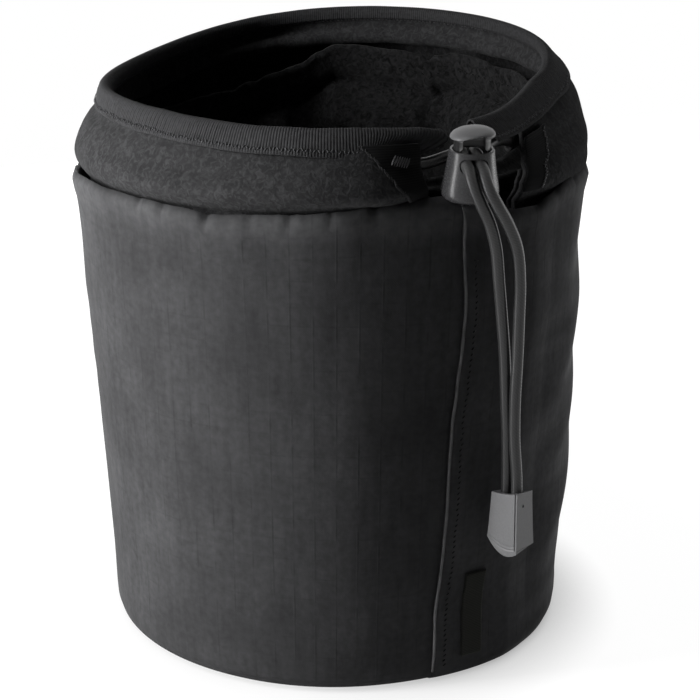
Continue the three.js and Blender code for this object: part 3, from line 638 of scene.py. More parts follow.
def wall_place(across, up):
    offset, height = wall_profile_at(up)
    bearing = wall_sweep * across
    from_edge = bearing * tub_round
    stand = lap_step * (1 - clamped((bearing - lap_step_start) / lap_step_run))
    stand *= between(((0, 0.4), (9, 1.0)), height)
    bearing += between(lap_edge, height) / tub_round * max(0.0, 1 - from_edge / lap_edge_reach)
    fold = -lap_fold * math.exp(-from_edge / lap_fold_reach)
    lift = between(((88, 0.0), (100, 1.0), (104.4, 1.0)), height)
    top = between(wall_top, degrees_from(bearing, 0)) - 0.45 - 0.6 * max(0.0, seam_bite(bearing))
    radius = tub_radius(height) + offset + stand + fold + wall_swell(bearing, height)
    return round_place(bearing, radius, height + (top - seam_height) * lift)


def thicken(piece, thickness, offset=-1.0):
    wall = piece.modifiers.new("thickness", "SOLIDIFY")
    wall.thickness = thickness * mm
    wall.offset = offset
    wall.use_quality_normals = True


wall_form = laid_cut(columns=470, rows=96, cut=wall_cut, place=wall_place)
wall_flat = wall_form.loops.layers.uv["cut"]
for face in wall_form.faces:
    for corner in face.loops:
        up = corner[wall_flat].uv.y / (wall_cut[1] * mm)
        corner[wall_flat].uv.y = crowded(up) * wall_cut[1] * mm
wall = piece_of(wall_form, "wall_cloth", ripstop, ("outer_wall",))
thicken(wall, ripstop_thickness)
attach(wall, "pouch")


def stitch(start, end, face):
    return (start + end) / 2, end - start, face


def stitch_row(name, places, length, radius, material):
    """A row of stitches: each place is its middle, the way it runs and the way it faces, in millimetres."""
    form = bmesh.new()
    for middle, way, face in places:
        way = Vector(way).normalized()
        face = (Vector(face) - way * way.dot(face)).normalized()
        turned = Matrix((way, face.cross(way), face)).transposed().to_4x4()
        size = Matrix.Diagonal((length / 2 * mm, radius * mm, radius * 0.8 * mm, 1))
        bmesh.ops.create_icosphere(form, subdivisions=1, radius=1.0,
                                   matrix=Matrix.Translation(Vector(middle) * mm) @ turned @ size)
    piece = piece_of(form, name, material)
    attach(piece, "pouch")


def thread_finish(name, dark, light):
    dark_tone, light_tone = (dark, dark, dark * 1.04), (light, light, light * 1.04)
    material, tree, shader = finish_of(name, dark_tone, roughness=0.6, specular=0.05, sheen=0.1)
    colour_by(tree, shader, strands(tree, spot_of(tree), 1800.0, "DIAGONAL"), dark_tone, light_tone)
    return material


dark_thread = thread_finish("sewing_thread", 0.005, 0.014)


def share_at(section, height, low, high):
    """Where a section line, which gives a place and a height for a share, rises to this height."""
    for _ in range(30):
        share = (low + high) / 2
        low, high = (share, high) if section(share)[1] < height else (low, share)
    return share


def on_wall(from_edge, height, out):
    """A place on the wall's outer face, by its distance from the lap's edge."""
    place = wall_place(from_edge / (wall_sweep * tub_round), share_at(wall_profile_at, height, 0.0, 0.93))
    return place + Vector((place.x, place.y, 0)).normalized() * out


lap_stitch_foot, lap_stitch_pitch, lap_stitch_in = 4.5, 1.2, 2.9
lap_stitches = []
for i in range(82):
    height = lap_stitch_foot + lap_stitch_pitch * i
    from_edge = lap_stitch_in + 0.3 * noise.noise(Vector((i * 0.83, 1.7, 0.0)))
    start = on_wall(from_edge - 0.35, height, 0.05)
    end = on_wall(from_edge + 0.35, height + 0.6, 0.05)
    lap_stitches.append((start, end - start, Vector((start.x, start.y, 0))))
stitch_row("lap_topstitch", lap_stitches, length=0.95, radius=0.2, material=dark_thread)

lap_roll_radius, lap_roll_in = 0.29, 0.25
lap_points = [wall_place(lap_roll_in / (wall_sweep * tub_round), 0.02 + 0.0243 * i) for i in range(41)]
lap_line = smooth_line(lap_points, 0.6)
lap_roll_form = tube(lap_line, line_frames(lap_line), 12, (2.3, 100),
                     lambda i, turn: lap_roll_radius + 0.05 * noise.noise(lap_line[i] / 3))
# the turned edge is coloured far paler than the wall's ripstop, mottled at random: a painted highlight
# along the lap's edge
lap_edge_highlight, lap_highlight_tree, lap_highlight_shader = finish_of(
    "ripstop_painted_highlight", (0.2, 0.2, 0.204), roughness=0.6, specular=0.004)
lap_highlight_mottle = mottle(lap_highlight_tree, spot_of(lap_highlight_tree), 500.0, detail=3.0)
colour_by(lap_highlight_tree, lap_highlight_shader, lap_highlight_mottle, (0.14, 0.14, 0.143), (0.34, 0.34, 0.347))
lap_roll = piece_of(lap_roll_form, "lap_turned_edge", lap_edge_highlight)
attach(lap_roll, "pouch")

# Lining: brushed cloth, cut tall and wide, so it hangs in soft folds and its gathered hem stands free
# inside the collar. Its floor is a disc of the same cloth over the foam.
lining_thickness = 0.6
lining_finish, lining_tree, lining_shader = finish_of(
    "brushed_lining", (0.02, 0.02, 0.021), roughness=0.95, specular=0.01, sheen=0.1, sheen_roughness=0.6)
lining_nap = mottle(lining_tree, spot_of(lining_tree), 700.0, detail=3.0, roughness=0.6, distortion=1.0)
colour_by(lining_tree, lining_shader, carried(lining_tree, lining_nap, 0.32, 0.72),
          (0.006, 0.006, 0.0063), (0.045, 0.045, 0.0465))
raise_by(lining_tree, lining_shader, lining_nap, strength=0.6, depth=0.0005)
lining_foot, lining_run = 6.6, 108.6
hem_top = ((-180, 112.8), (-172, 112.0), (-160, 112.4), (-120, 113.2), (-60, 113.6), (0, 113.4),
           (60, 115.0), (92, 116.0), (101, 115.6), (105, 116.1), (116, 116.1), (122, 115.4), (124, 114.5),
           (126.5, 115.4), (133, 115.7), (140, 115.9), (147, 116.6), (153, 116.8), (158, 115.6),
           (164, 114.2), (172, 113.4), (180, 112.8))
hem_height, hem_stitch_depth, hem_stitch_count = 4.4, 2.6, 150
foam_top, foam_depth = 99.0, 4.3
lining_billow = ((-180, 2.5), (-165, 1.0), (-120, 2.5), (-60, 3.0), (0, 2.0), (60, 3.0), (88, 3.6),
                 (100, 4.6), (112, 3.6), (120, 2.2), (128, 6.0), (140, 8.0), (152, 6.6), (160, 1.0),
                 (166, 0.6), (171, 6.0), (177, 5.0), (180, 2.5))


def lining_place(across, up):
    bearing = 2 * math.pi * across
    height = lining_foot + up * lining_run
    edge = lining_foot + lining_run - height
    base_radius = tub_radius(min(height, foam_top)) - wall_gap - foam_depth
    free = clamped((height - 60.0) / 40.0)
    folds = 2.0 * ripple(bearing, height, 38, 90, 51.0) + 0.9 * ripple(bearing, height, 17, 50, 57.0)
    billow = between(lining_billow, degrees_from(bearing, 0)) * math.exp(-((edge - 10.5) / 3.6) ** 2)
    radius = base_radius - free * max(0.0, folds + 1.0) - billow
    hem = between(((0.0, 1.0), (hem_height - 0.5, 1.0), (hem_height + 0.4, 0.0), (200, 0.0)), edge)
    groove = math.exp(-((edge - hem_stitch_depth) / 0.5) ** 2)
    pucker = ripple(bearing, 0, 4.2, 10, 71.0)
    under = 1.5 * math.exp(-((edge - 5.2) / 0.7) ** 2)
    radius -= hem * (1.6 + 0.35 * pucker) + 1.9 * math.exp(-edge / 3.0) - 0.3 * groove - under
    top = clamped((height - 92.0) / 14.0)
    height += top * (between(hem_top, degrees_from(bearing, 0)) - lining_foot - lining_run)
    height -= 0.35 * math.exp(-edge / 2.0) * max(0.0, pucker)
    return mouth_place(bearing, radius, height)


lining_form = laid_cut(columns=430, rows=100, cut=(310, 107), place=lining_place)
lining = piece_of(lining_form, "lining_cloth", lining_finish, ("lining_wall",))
thicken(lining, lining_thickness)
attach(lining, "pouch")

hem_stitches = []
for i in range(hem_stitch_count):
    places = []
    for step in (-0.25, 0.25):
        place = lining_place((i + 0.5 + step) / hem_stitch_count, 1 - hem_stitch_depth / lining_run)
        places.append(place - Vector((place.x, place.y, 0)).normalized() * 0.75)
    hem_stitches.append(stitch(*places, Vector((-places[0].x, -places[0].y, 0))))
stitch_row("hem_stitches", hem_stitches, length=1.2, radius=0.2, material=dark_thread)

lining_floor_radius = 45.4
def lining_floor_place(across, up):
    bearing = 2 * math.pi * across
    reach = max(0.001, up * lining_floor_radius)
    return round_place(bearing, reach, 6.1 + 0.35 * ripple(bearing, 0, 60, 10, 81.0 + reach / 25))


lining_floor_form = laid_cut(columns=96, rows=24, cut=(285, 45), place=lining_floor_place)
bmesh.ops.remove_doubles(lining_floor_form, verts=lining_floor_form.verts, dist=0.00002)
bmesh.ops.reverse_faces(lining_floor_form, faces=lining_floor_form.faces)
lining_floor = piece_of(lining_floor_form, "lining_floor", lining_finish, ("lining_base",))
thicken(lining_floor, lining_thickness)
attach(lining_floor, "pouch")

# Collar: a band of felted knit, tucked inside the wall's gathered edge, that swells out over it and leans
# in to the rim. It is slit at the front, and a thinner facing backs its lower half.
rim_radius, rim_top = 49.4, 124.3
rim_lean = math.radians(35)


def rim_line(down, out):
    """A place on the rim's section: the distance down from the collar's top edge, and out from its face."""
    return (rim_radius + down * math.sin(rim_lean) + out * math.cos(rim_lean),
            rim_top - down * math.cos(rim_lean) + out * math.sin(rim_lean))


collar_swell = ((53.7, 103.0), (58.9, 106.8), rim_line(11.2, 0), rim_line(5.2, 0))


def collar_line(up):
    """The collar's outer face in section, from its tucked foot, at 0, to its top edge, at 1."""
    if up < 0.2:
        share = up / 0.2
        return 54.2 - 0.5 * share, 99.3 + 3.7 * share
    if up < 0.8:
        t = (up - 0.2) / 0.6
        (x0, y0), (x1, y1), (x2, y2), (x3, y3) = collar_swell
        a, b, c, d = (1 - t) ** 3, 3 * t * (1 - t) ** 2, 3 * t * t * (1 - t), t ** 3
        return a * x0 + b * x1 + c * x2 + d * x3, a * y0 + b * y1 + c * y2 + d * y3
    return rim_line(5.2 * (1 - (up - 0.8) / 0.2), 0)


slit_left = ((99, -5.0), (105.3, -5.2), (107.0, -6.7), (109.0, -7.0), (124.3, -8.0))
slit_right = ((99, 14.0), (104, 14.2), (109, 14.2), (115, 16.3), (118.6, 18.0), (121, 19.6),
              (124.3, 20.6))
edge_curl, edge_curl_reach = 3.2, 12.0


def collar_bearing(across, radius, height):
    start = math.asin(between(slit_right, height) / radius)
    end = 2 * math.pi + math.asin(between(slit_left, height) / radius)
    return start + (end - start) * across


def collar_swing(bearing, radius, height):
    """How far the felt stands from its section: soft waves, and a curl inwards at the slit's left edge."""
    soft = clamped((height - 104) / 6) * clamped((122 - height) / 8)
    swell = 0.7 * ripple(bearing, height, 34, 40, 91.0) + 0.3 * ripple(bearing, height, 12, 18, 95.0)
    slit_bearing = math.asin(between(slit_left, height) / radius)
    from_slit = (slit_bearing - math.radians(degrees_from(bearing, 0))) * radius
    curl = edge_curl * max(0.0, 1 - max(0.0, from_slit) / edge_curl_reach) ** 2 if from_slit > -1 else 0.0
    return soft * swell - curl * clamped((123 - height) / 4)


def collar_place(across, up):
    radius, height = collar_line(up)
    bearing = collar_bearing(across, radius, height)
    return mouth_place(bearing, radius + collar_swing(bearing, radius, height), height)


felt, felt_tree, felt_shader = finish_of(
    "felted_knit", (0.03, 0.03, 0.031), roughness=0.95, specular=0.006, sheen=0.06, sheen_roughness=0.55)
felt_spot = spot_of(felt_tree)
felt_fibres = mottle(felt_tree, felt_spot, 760.0, detail=3.0, roughness=0.6, distortion=1.2)
felt_level = carried(felt_tree, felt_fibres, 0.36, 0.74, 0.0, 1.0, "SMOOTHSTEP")
felt_cloud = mottle(felt_tree, felt_spot, 130.0, detail=4.0, roughness=0.65)
felt_ground = tone_between(felt_tree, felt_cloud, (0.022, 0.022, 0.0229), (0.060, 0.060, 0.062))
colour_by(felt_tree, felt_shader, felt_level, felt_ground, (0.082, 0.082, 0.0845))
felt_height = reckon(felt_tree, "MULTIPLY_ADD", felt_cloud, 1.5, felt_level)
raise_by(felt_tree, felt_shader, felt_height, strength=0.3, depth=0.0002)

collar_form = laid_cut(columns=420, rows=56, cut=(345, 29), place=collar_place)
collar = piece_of(collar_form, "collar_felt", felt, ("collar_band",))
thicken(collar, 1.0)
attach(collar, "pouch")


def facing_place(across, up):
    radius, height = collar_line(0.02 + 0.56 * up)
    bearing = collar_bearing(across, radius, height)
    stand = collar_swing(bearing, radius, height) - 1.6 - 0.3 * abs(ripple(bearing, height, 10, 12, 97.0))
    return mouth_place(bearing, radius + stand, height)


facing_form = laid_cut(columns=240, rows=20, cut=(335, 16), place=facing_place)
facing = piece_of(facing_form, "facing_felt", felt, ("collar_facing",))
thicken(facing, 0.6)
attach(facing, "pouch")

# Cord tunnel: a strip of the felted knit folded round the drawcord, its two edges caught under the rim's
# binding, so that it shows inside the mouth as a soft welt.
tunnel_section = ((-0.2, -1.2), (1.5, -1.4), (3.0, -1.75), (4.2, -2.1), (5.6, -2.5), (6.25, -3.5),
                  (6.2, -4.5), (5.5, -5.35), (4.6, -5.6), (3.65, -5.3), (3.0, -4.5), (2.85, -3.5),
                  (2.5, -2.6), (1.6, -1.9), (0.6, -1.6), (-0.5, -1.4))


def section_at(section, share):
    """A place on a smooth section line, from 0 to 1, through points of (down, out)."""
    reach = share * (len(section) - 1)
    i = min(int(reach), len(section) - 2)
    t = reach - i
    a, b = section[i], section[i + 1]
    before, after = section[max(i - 1, 0)], section[min(i + 2, len(section) - 1)]
    spot = []
    for p, q, r, s in zip(before, a, b, after):
        spot.append(0.5 * (2 * q + (r - p) * t + (2 * p - 5 * q + 4 * r - s) * t * t
                           + (3 * q - p - 3 * r + s) * t ** 3))
    return spot


def tunnel_place(across, up):
    down, out = section_at(tunnel_section, up)
    radius, height = rim_line(down, out)
    bearing = collar_bearing(across, radius, height)
    loose = math.sin(math.pi * up) ** 2
    pucker = 0.45 * ripple(bearing, 0, 6, 10, 101.0 + up) + 0.3 * ripple(bearing, 0, 16, 10, 105.0)
    return mouth_place(bearing, radius - loose * pucker, height - 0.5 * loose * pucker)


tunnel_form = laid_cut(columns=360, rows=40, cut=(300, 18), place=tunnel_place)
tunnel = piece_of(tunnel_form, "tunnel_felt", felt, ("cord_tunnel",))
thicken(tunnel, 0.45, 1.0)
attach(tunnel, "pouch")

# Rim binding: grosgrain tape with upright ribs, folded over the collar's top edge and the tunnel's edges
# and sewn through. Its two ends run out to points over the slit.
rib_pitch = 0.56
binding_length, binding_width = 313.0, 13.0
binding_section = ((4.4, 0.5), (3.2, 0.5), (1.6, 0.5), (0.2, 0.48), (-0.8, 0.27), (-1.35, -0.1),
                   (-1.5, -0.6), (-1.35, -1.1), (-0.85, -1.45), (-0.2, -1.75), (0.4, -1.95))
rim_shift = ((-180, -0.2), (-104, -0.4), (-91, -0.5), (-74, -0.1), (-62, 0.3), (-46, 0.4), (-33, -0.1),
             (-21, -0.5), (-7, -0.2), (18, 0.1), (42, 0.1), (59, 0.8), (120, 0.0), (180, -0.2))
rib_relief = 0.032
high_left, high_right = -1.8, 5.0
low_left, low_right = -11.5, 9.6
point_run = 15.0
end_drop = ((0.0, 2.2), (1.3, 0.8), (6.0, 0.0))


def binding_bearing(across, ear):
    """The tape's bearing; ear, from 0 to 1, says how far the lower edge is drawn back near both ends."""
    start = math.asin(high_right / rim_radius)
    end = 2 * math.pi + math.asin(high_left / rim_radius)
    run = (end - start) * rim_radius
    along = run * across
    back = run - along
    if along < point_run:
        along += ear * (low_right - high_right) * (1 - along / point_run)
    elif back < point_run:
        along -= ear * (high_left - low_left) * (1 - back / point_run)
    return start + along / rim_radius


def on_binding(across, down, out):
    ear = between(((-0.5, 0.0), (4.4, 1.0)), down)
    bearing = binding_bearing(across, ear)
    from_left = (1 - across) * binding_length
    tuck = ear * (3.2 * max(0.0, 1 - from_left / 28) + 1.2 * max(0.0, 1 - from_left / 5))
    tuck = tuck if out > -1 else 0.0
    sink = between(rim_shift, degrees_from(bearing, 0)) + (1 - ear) * between(end_drop, from_left)
    radius, height = rim_line(down + sink, out - tuck)
    return mouth_place(bearing, radius, height)


def binding_place(across, up):
    down, out = section_at(binding_section, up)
    rib = rib_relief * math.cos(2 * math.pi * across * binding_length / rib_pitch)
    wobble = 0.2 * ripple(2 * math.pi * across, 0, 9, 10, 111.0) * min(1.0, abs(down) / 5)
    return on_binding(across, down + wobble, out + rib * (1 if out > -0.7 else -1))


grosgrain, grosgrain_tree, grosgrain_shader = finish_of(
    "grosgrain_tape", (0.03, 0.03, 0.031), roughness=0.75, specular=0.012, sheen=0.06, sheen_roughness=0.4)
grosgrain_cut = cut_of(grosgrain_tree)
grosgrain_turn = reckon(grosgrain_tree, "MULTIPLY", parts_of(grosgrain_tree, grosgrain_cut)["X"],
                        2 * math.pi / (rib_pitch * mm))
grosgrain_rib = reckon(grosgrain_tree, "COSINE", grosgrain_turn)
grosgrain_fuzz = mottle(grosgrain_tree, grosgrain_cut, 900.0, detail=3.0)
grosgrain_sum = reckon(grosgrain_tree, "MULTIPLY_ADD", grosgrain_rib, 0.3, grosgrain_fuzz)
colour_by(grosgrain_tree, grosgrain_shader, carried(grosgrain_tree, grosgrain_sum, 0.2, 0.85),
          (0.038, 0.038, 0.039), (0.082, 0.082, 0.085))
raise_by(grosgrain_tree, grosgrain_shader, grosgrain_sum, strength=0.4, depth=0.00015)

binding_form = laid_cut(columns=2525, rows=16, cut=(binding_length, binding_width), place=binding_place)
binding = piece_of(binding_form, "binding_tape", grosgrain, ("rim_binding",))
thicken(binding, 0.4, 1.0)
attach(binding, "pouch")

light_thread = thread_finish("worn_thread", 0.07, 0.16)
binding_stitch_count, inner_stitch_count = 420, 300
binding_stitch_down, inner_stitch_up = 3.35, 0.905
binding_stitches = []
for i in range(binding_stitch_count):
    across = (i + 0.5) / binding_stitch_count
    stray = noise.noise(Vector((i * 0.71, 3.3, 0.0)))
    slant = (0.45 if i % 2 else -0.45) + 0.35 * noise.noise(Vector((i * 0.37, 9.1, 0.0)))
    ends = []
    for step in (-0.5, 0.5):
        down = binding_stitch_down + 0.45 * stray + 0.75 * step
        ends.append(on_binding(across + slant * step / binding_length, down, 1.0))
    middle = (ends[0] + ends[1]) / 2
    binding_stitches.append(stitch(*ends, Vector((middle.x, middle.y, 25))))
stitch_row("binding_stitches", binding_stitches, length=0.95, radius=0.13, material=light_thread)

inner_stitches = []
for i in range(inner_stitch_count):
    across = (i + 0.5) / inner_stitch_count
    stray = 0.35 * noise.noise(Vector((i * 0.53, 5.7, 0.0)))
    ends = [tunnel_place(across + step * 0.35 / inner_stitch_count, inner_stitch_up + 0.01 * stray)
            for step in (-1, 1)]
    middle = (ends[0] + ends[1]) / 2
    inwards = Vector((-middle.x, -middle.y, 0)).normalized()
    inner_stitches.append((middle + inwards * 0.1, ends[1] - ends[0] + Vector((0, 0, stray)), inwards))
stitch_row("inner_stitches", inner_stitches, length=0.8, radius=0.14, material=light_thread)

# Slit tapes: two short strips of the grosgrain, sewn on the collar beside its slit, the left one slanting
# with a bar tack at its top, the right one wider and topstitched along its outer edge.
tape_foot, left_tape_top, right_tape_top = 105.8, 122.6, 119.6
tape_thickness = 0.5


def on_collar(x, height, out):
    up = share_at(collar_line, height, 0.2, 1.0)
    radius, height = collar_line(up)
    radius_up, height_up = collar_line(up + 0.01)
    slope = Vector((height_up - height, radius - radius_up)).normalized() * out
    bearing = math.asin(x / radius)
    stand = collar_swing(bearing, radius, height) + slope.x
    return mouth_place(bearing, radius + stand, height + slope.y)


left_tape_edge = ((105.8, -10.9), (110.5, -12.0), (113, -13.1), (116.5, -14.0), (118, -15.1),
                  (119.7, -16.3), (121.2, -17.5), (122.8, -18.8))
left_slit_edge = ((105.8, -6.4), (109, -7.1), (121.2, -7.9), (122.8, -8.0))
right_slit_edge = ((104, 14.4), (109, 14.4), (115, 16.5), (118.6, 18.2), (121, 19.8))
right_tape_edge = ((105.8, 20.6), (112.8, 22.8), (115.6, 26.3), (118.1, 27.5), (121.2, 28.9))

# the slit tapes' grosgrain is coloured darker than the binding's, with fainter ribs: painted shade where
# they turn into the slit
slit_grosgrain_shaded, slit_tree, slit_shader = finish_of(
    "slit_grosgrain_shaded", (0.03, 0.03, 0.031), roughness=0.8, specular=0.01, sheen=0.05, sheen_roughness=0.4)
slit_ribs = strands(slit_tree, cut_of(slit_tree), 520.0, "X", distortion=0.6, detail_scale=4.0)
colour_by(slit_tree, slit_shader, slit_ribs, (0.018, 0.018, 0.0185), (0.028, 0.028, 0.0288))
raise_by(slit_tree, slit_shader, slit_ribs, strength=0.12, depth=0.0001)


def over_binding(low, high, height):
    """How far a tape or its thread stands off the collar, more where it laps over the binding's end."""
    return between(((118.6, low), (120.4, high)), height)


def tape(name, node, left, right, top):
    """A strip laid on the collar, and over the binding's end, between two edges of (height, x) stations."""
    def place(across, up):
        height = tape_foot + up * (top - tape_foot)
        low, high = between(left, height), between(right, height)
        edge = abs(2 * across - 1)
        out = over_binding(0.62, 1.35, height) - 0.25 * edge ** 6
        return on_collar(low + (high - low) * across, height, out)

    form = laid_cut(columns=30, rows=72, cut=(7.0, 15.0), place=place)
    flat = form.loops.layers.uv["cut"]
    for face in form.faces:
        for corner in face.loops:
            corner[flat].uv = corner[flat].uv.yx * 1.6
    piece = piece_of(form, name, slit_grosgrain_shaded, (node,))
    thicken(piece, tape_thickness)
    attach(piece, "pouch")


tape("slit_ribbon_left", "slit_tape_left", left_tape_edge, left_slit_edge, left_tape_top)
tape("slit_ribbon_right", "slit_tape_right", right_slit_edge, right_tape_edge, right_tape_top)


def collar_stitch(x, height, lean, rise, out, face):
    """A stitch on the collar through (x, height), which leans and rises so far to both sides of it."""
    start = on_collar(x - lean, height - rise, out)
    return stitch(start, on_collar(x + lean, height + rise, out), Vector(face))


edge_thread = thread_finish("tape_thread", 0.03, 0.06)
slit_piping = []
for i in range(36):
    height = 106.4 + 15.6 * i / 35
    x = between(left_tape_edge, height) - 0.1
    out = over_binding(0.5, 1.25, height)
    slit_piping.append(collar_stitch(x, height, 0.0, 0.3, out, (-0.4, -1, 0.3)))
stitch_row("tape_edge_thread", slit_piping, length=1.3, radius=0.1, material=edge_thread)

tape_tacks = [collar_stitch(-13.6 + 0.42 * i, 119.9 - 0.12 * i, 0.75, 1.0, 1.45, (-0.3, -1, 0.3))
              for i in range(7)]
stitch_row("bar_tack", tape_tacks, length=2.6, radius=0.22, material=light_thread)

tape_zigzag = []
for i in range(28):
    height = 106.6 + 12.6 * i / 27
    x = between(right_tape_edge, height) - 1.3
    lean = 0.45 if i % 2 else -0.45
    out = over_binding(0.75, 1.5, height)
    tape_zigzag.append(collar_stitch(x, height, lean, 0.3, out, (0.4, -1, 0.3)))
stitch_row("tape_zigzag", tape_zigzag, length=1.1, radius=0.13, material=light_thread)

# Label: a bare black woven ribbon, folded flat and sewn on beside the lap near the foot, with its fold to
# the right and its upper corner a little off the wall.
label_width, label_height, label_fold = 5.05, 19.0, 0.2
label_foot, label_in, label_thickness = 6.0, 6.3, 0.2
label_finish, label_tree, label_shader = finish_of(
    "woven_label", (0.02, 0.02, 0.02), roughness=0.7, specular=0.015, sheen=0.04, sheen_roughness=0.4)
label_weave = strands(label_tree, cut_of(label_tree), 800.0, "Y")
colour_by(label_tree, label_shader, label_weave, (0.036, 0.0365, 0.033), (0.058, 0.059, 0.053))
raise_by(label_tree, label_shader, label_weave, strength=0.4, depth=0.0001)


def label_place(across, up):
    run = 2 * label_width * abs(across - 0.5)
    reach = label_width - run
    round_share = max(0.0, 1 - run / label_fold)
    lift = 0.15 + 0.2 * (reach / label_width) ** 2 * up ** 6
    side = label_fold * math.sqrt(max(0.0, 1 - round_share ** 2))
    out = lift + label_fold + (side if across > 0.5 else -side)
    return on_wall(label_in + reach, label_foot + label_height * up, out)


label_form = laid_cut(columns=48, rows=40, cut=(2 * label_width, label_height), place=label_place)
label = piece_of(label_form, "folded_label", label_finish, ("side_label",))
thicken(label, label_thickness, 0.0)
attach(label, "pouch")

# Cord lock: a moulded bell-shaped barrel that stands at the mouth of the slit. Its plunger carries a domed
# head and an eye for the two cords, and a wire spring below the plunger grips them.
lock_hole_width, lock_hole_foot = 5.3, 5.95
barrel_hole_top, plunger_hole_top = 8.75, 10.45
plunger_neck = 11.75
lock_plastic, lock_tree, lock_shader = finish_of(
    "lock_plastic", (0.045, 0.045, 0.047), roughness=0.28, specular=0.22)
lock_grain = mottle(lock_tree, spot_of(lock_tree), 3000.0)
lock_tree.links.new(carried(lock_tree, lock_grain, 0.0, 1.0, 0.22, 0.32), lock_shader.inputs["Roughness"])
raise_by(lock_tree, lock_shader, lock_grain, strength=0.12, depth=0.0001)

# the plunger is coloured much paler than the barrel above its neck, a painted highlight on the domed head,
# and near black below it, painted shade on the stem under the head
button_painted_light, button_tree, button_shader = finish_of(
    "button_painted_light", (0.13, 0.13, 0.134), roughness=0.36, specular=0.25)
button_spot = spot_of(button_tree)
raise_by(button_tree, button_shader, mottle(button_tree, button_spot, 3000.0), strength=0.12, depth=0.0001)
button_axis = lock_frame.to_3x3() @ Vector((0, 0, 1))
button_rise = put(button_tree, "ShaderNodeVectorMath", {0: button_spot, 1: tuple(button_axis)},
                  operation="DOT_PRODUCT")
button_neck = (lock_frame @ Vector((0, 0, plunger_neck))).dot(button_axis) * mm
head_light_neck_shade = carried(button_tree, button_rise.outputs["Value"], button_neck - 0.0003, button_neck)
colour_by(button_tree, button_shader, head_light_neck_shade, (0.02, 0.02, 0.0206), (0.14, 0.14, 0.144))


def turned(profile, steps):
    """A closed form turned about the lock's axis from points of (radius, height)."""
    form = bmesh.new()
    line = [form.verts.new((r * mm, 0, z * mm)) for r, z in profile]
    edges = [form.edges.new(pair) for pair in zip(line, line[1:])]
    bmesh.ops.spin(form, geom=line + edges, cent=(0, 0, 0), axis=(0, 0, 1), angle=2 * math.pi, steps=steps,
                   use_merge=True)
    bmesh.ops.remove_doubles(form, verts=form.verts, dist=1e-6)
    bmesh.ops.recalc_face_normals(form, faces=form.faces)
    return form


def cross_hole(width, foot, top, corner):
    """A bar with round edges that passes through the lock along the cords."""
    form = bmesh.new()
    bmesh.ops.create_cube(form, size=1.0)
    bmesh.ops.scale(form, verts=form.verts, vec=(width * mm, 20 * mm, (top - foot) * mm))
    bmesh.ops.translate(form, verts=form.verts, vec=(0, 0, (top + foot) / 2 * mm))
    along = [e for e in form.edges if abs((e.verts[0].co - e.verts[1].co).normalized().y) > 0.9]
    bmesh.ops.bevel(form, geom=along, offset=corner * mm, offset_type="OFFSET", segments=6, profile=0.5,
                    affect="EDGES", material=-1)
    return form


def cut_form(form, cutter):
    """The form with the cutter taken out of it."""
    made = []
    for part in (form, cutter):
        mesh = bpy.data.meshes.new("cutting")
        part.to_mesh(mesh)
        part.free()
        made.append(bpy.data.objects.new("cutting", mesh))
        scene.collection.objects.link(made[-1])
    hole = made[0].modifiers.new("hole", "BOOLEAN")
    hole.operation = "DIFFERENCE"
    hole.solver = "EXACT"
    hole.object = made[1]
    bpy.context.view_layer.update()
    left = bpy.data.meshes.new_from_object(made[0].evaluated_get(bpy.context.evaluated_depsgraph_get()))
    result = bmesh.new()
    result.from_mesh(left)
    for part in made:
        bpy.data.objects.remove(part)
    bpy.data.meshes.remove(left)
    return result


def soften(piece, width):
    rounding = piece.modifiers.new("rounding", "BEVEL")
    rounding.width = width * mm
    rounding.segments = 2
    rounding.limit_method = "ANGLE"
    rounding.angle_limit = math.radians(35)
    rounding.harden_normals = True


def in_lock(form):
    place = Matrix.Scale(mm, 4) @ lock_frame @ Matrix.Scale(1 / mm, 4)
    bmesh.ops.transform(form, matrix=place, verts=form.verts)
    return form


barrel_profile = ((0, 0), (3.9, 0), (4.6, 0.12), (5.15, 0.5), (5.45, 1.0), (5.5, 1.6), (5.33, 2.8),
                  (5.02, 4.4), (4.7, 6.2), (4.45, 8.0), (4.32, 9.15), (4.24, 9.52), (4.08, 9.7),
                  (3.72, 9.7), (3.6, 9.55), (3.6, 1.0), (0, 1.0))
barrel_hole = cross_hole(lock_hole_width, lock_hole_foot, barrel_hole_top, 1.3)
barrel_form = cut_form(turned(barrel_profile, 72), barrel_hole)
barrel = piece_of(in_lock(barrel_form), "barrel_moulding", lock_plastic, ("lock_barrel",))
soften(barrel, 0.12)
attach(barrel, "cord_lock")

plunger_profile = ((0, 4.95), (3.25, 4.95), (3.45, 5.15), (3.45, 11.75), (3.5, 11.85), (3.95, 11.9),
                   (4.15, 12.0), (4.25, 12.2), (4.18, 12.5), (3.85, 12.9), (3.15, 13.3), (2.2, 13.58),
                   (1.05, 13.74), (0, 13.78))
plunger_hole = cross_hole(lock_hole_width, lock_hole_foot, plunger_hole_top, 1.15)
plunger_form = cut_form(turned(plunger_profile, 72), plunger_hole)
for front in (-1, 1):
    recess = cross_hole(4.2, 9.0, 12.15, 0.2)
    bmesh.ops.translate(recess, verts=recess.verts, vec=(0, front * 11.0 * mm, 0))
    plunger_form = cut_form(plunger_form, recess)
for v in plunger_form.verts:
    head = clamped((v.co.z / mm - 11.7) / 0.4)
    skirt = math.exp(-((v.co.x / mm - 0.7) / 2.7) ** 2) * clamped(-v.co.y / (3.0 * mm))
    v.co.z += head * (0.07 * v.co.x + 0.8 * mm * skirt * max(0.0, 1 - (v.co.z / mm - 12.2) / 1.2))
plunger = piece_of(in_lock(plunger_form), "plunger_moulding", button_painted_light,
                   ("lock_plunger",))
soften(plunger, 0.1)
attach(plunger, "lock_button")

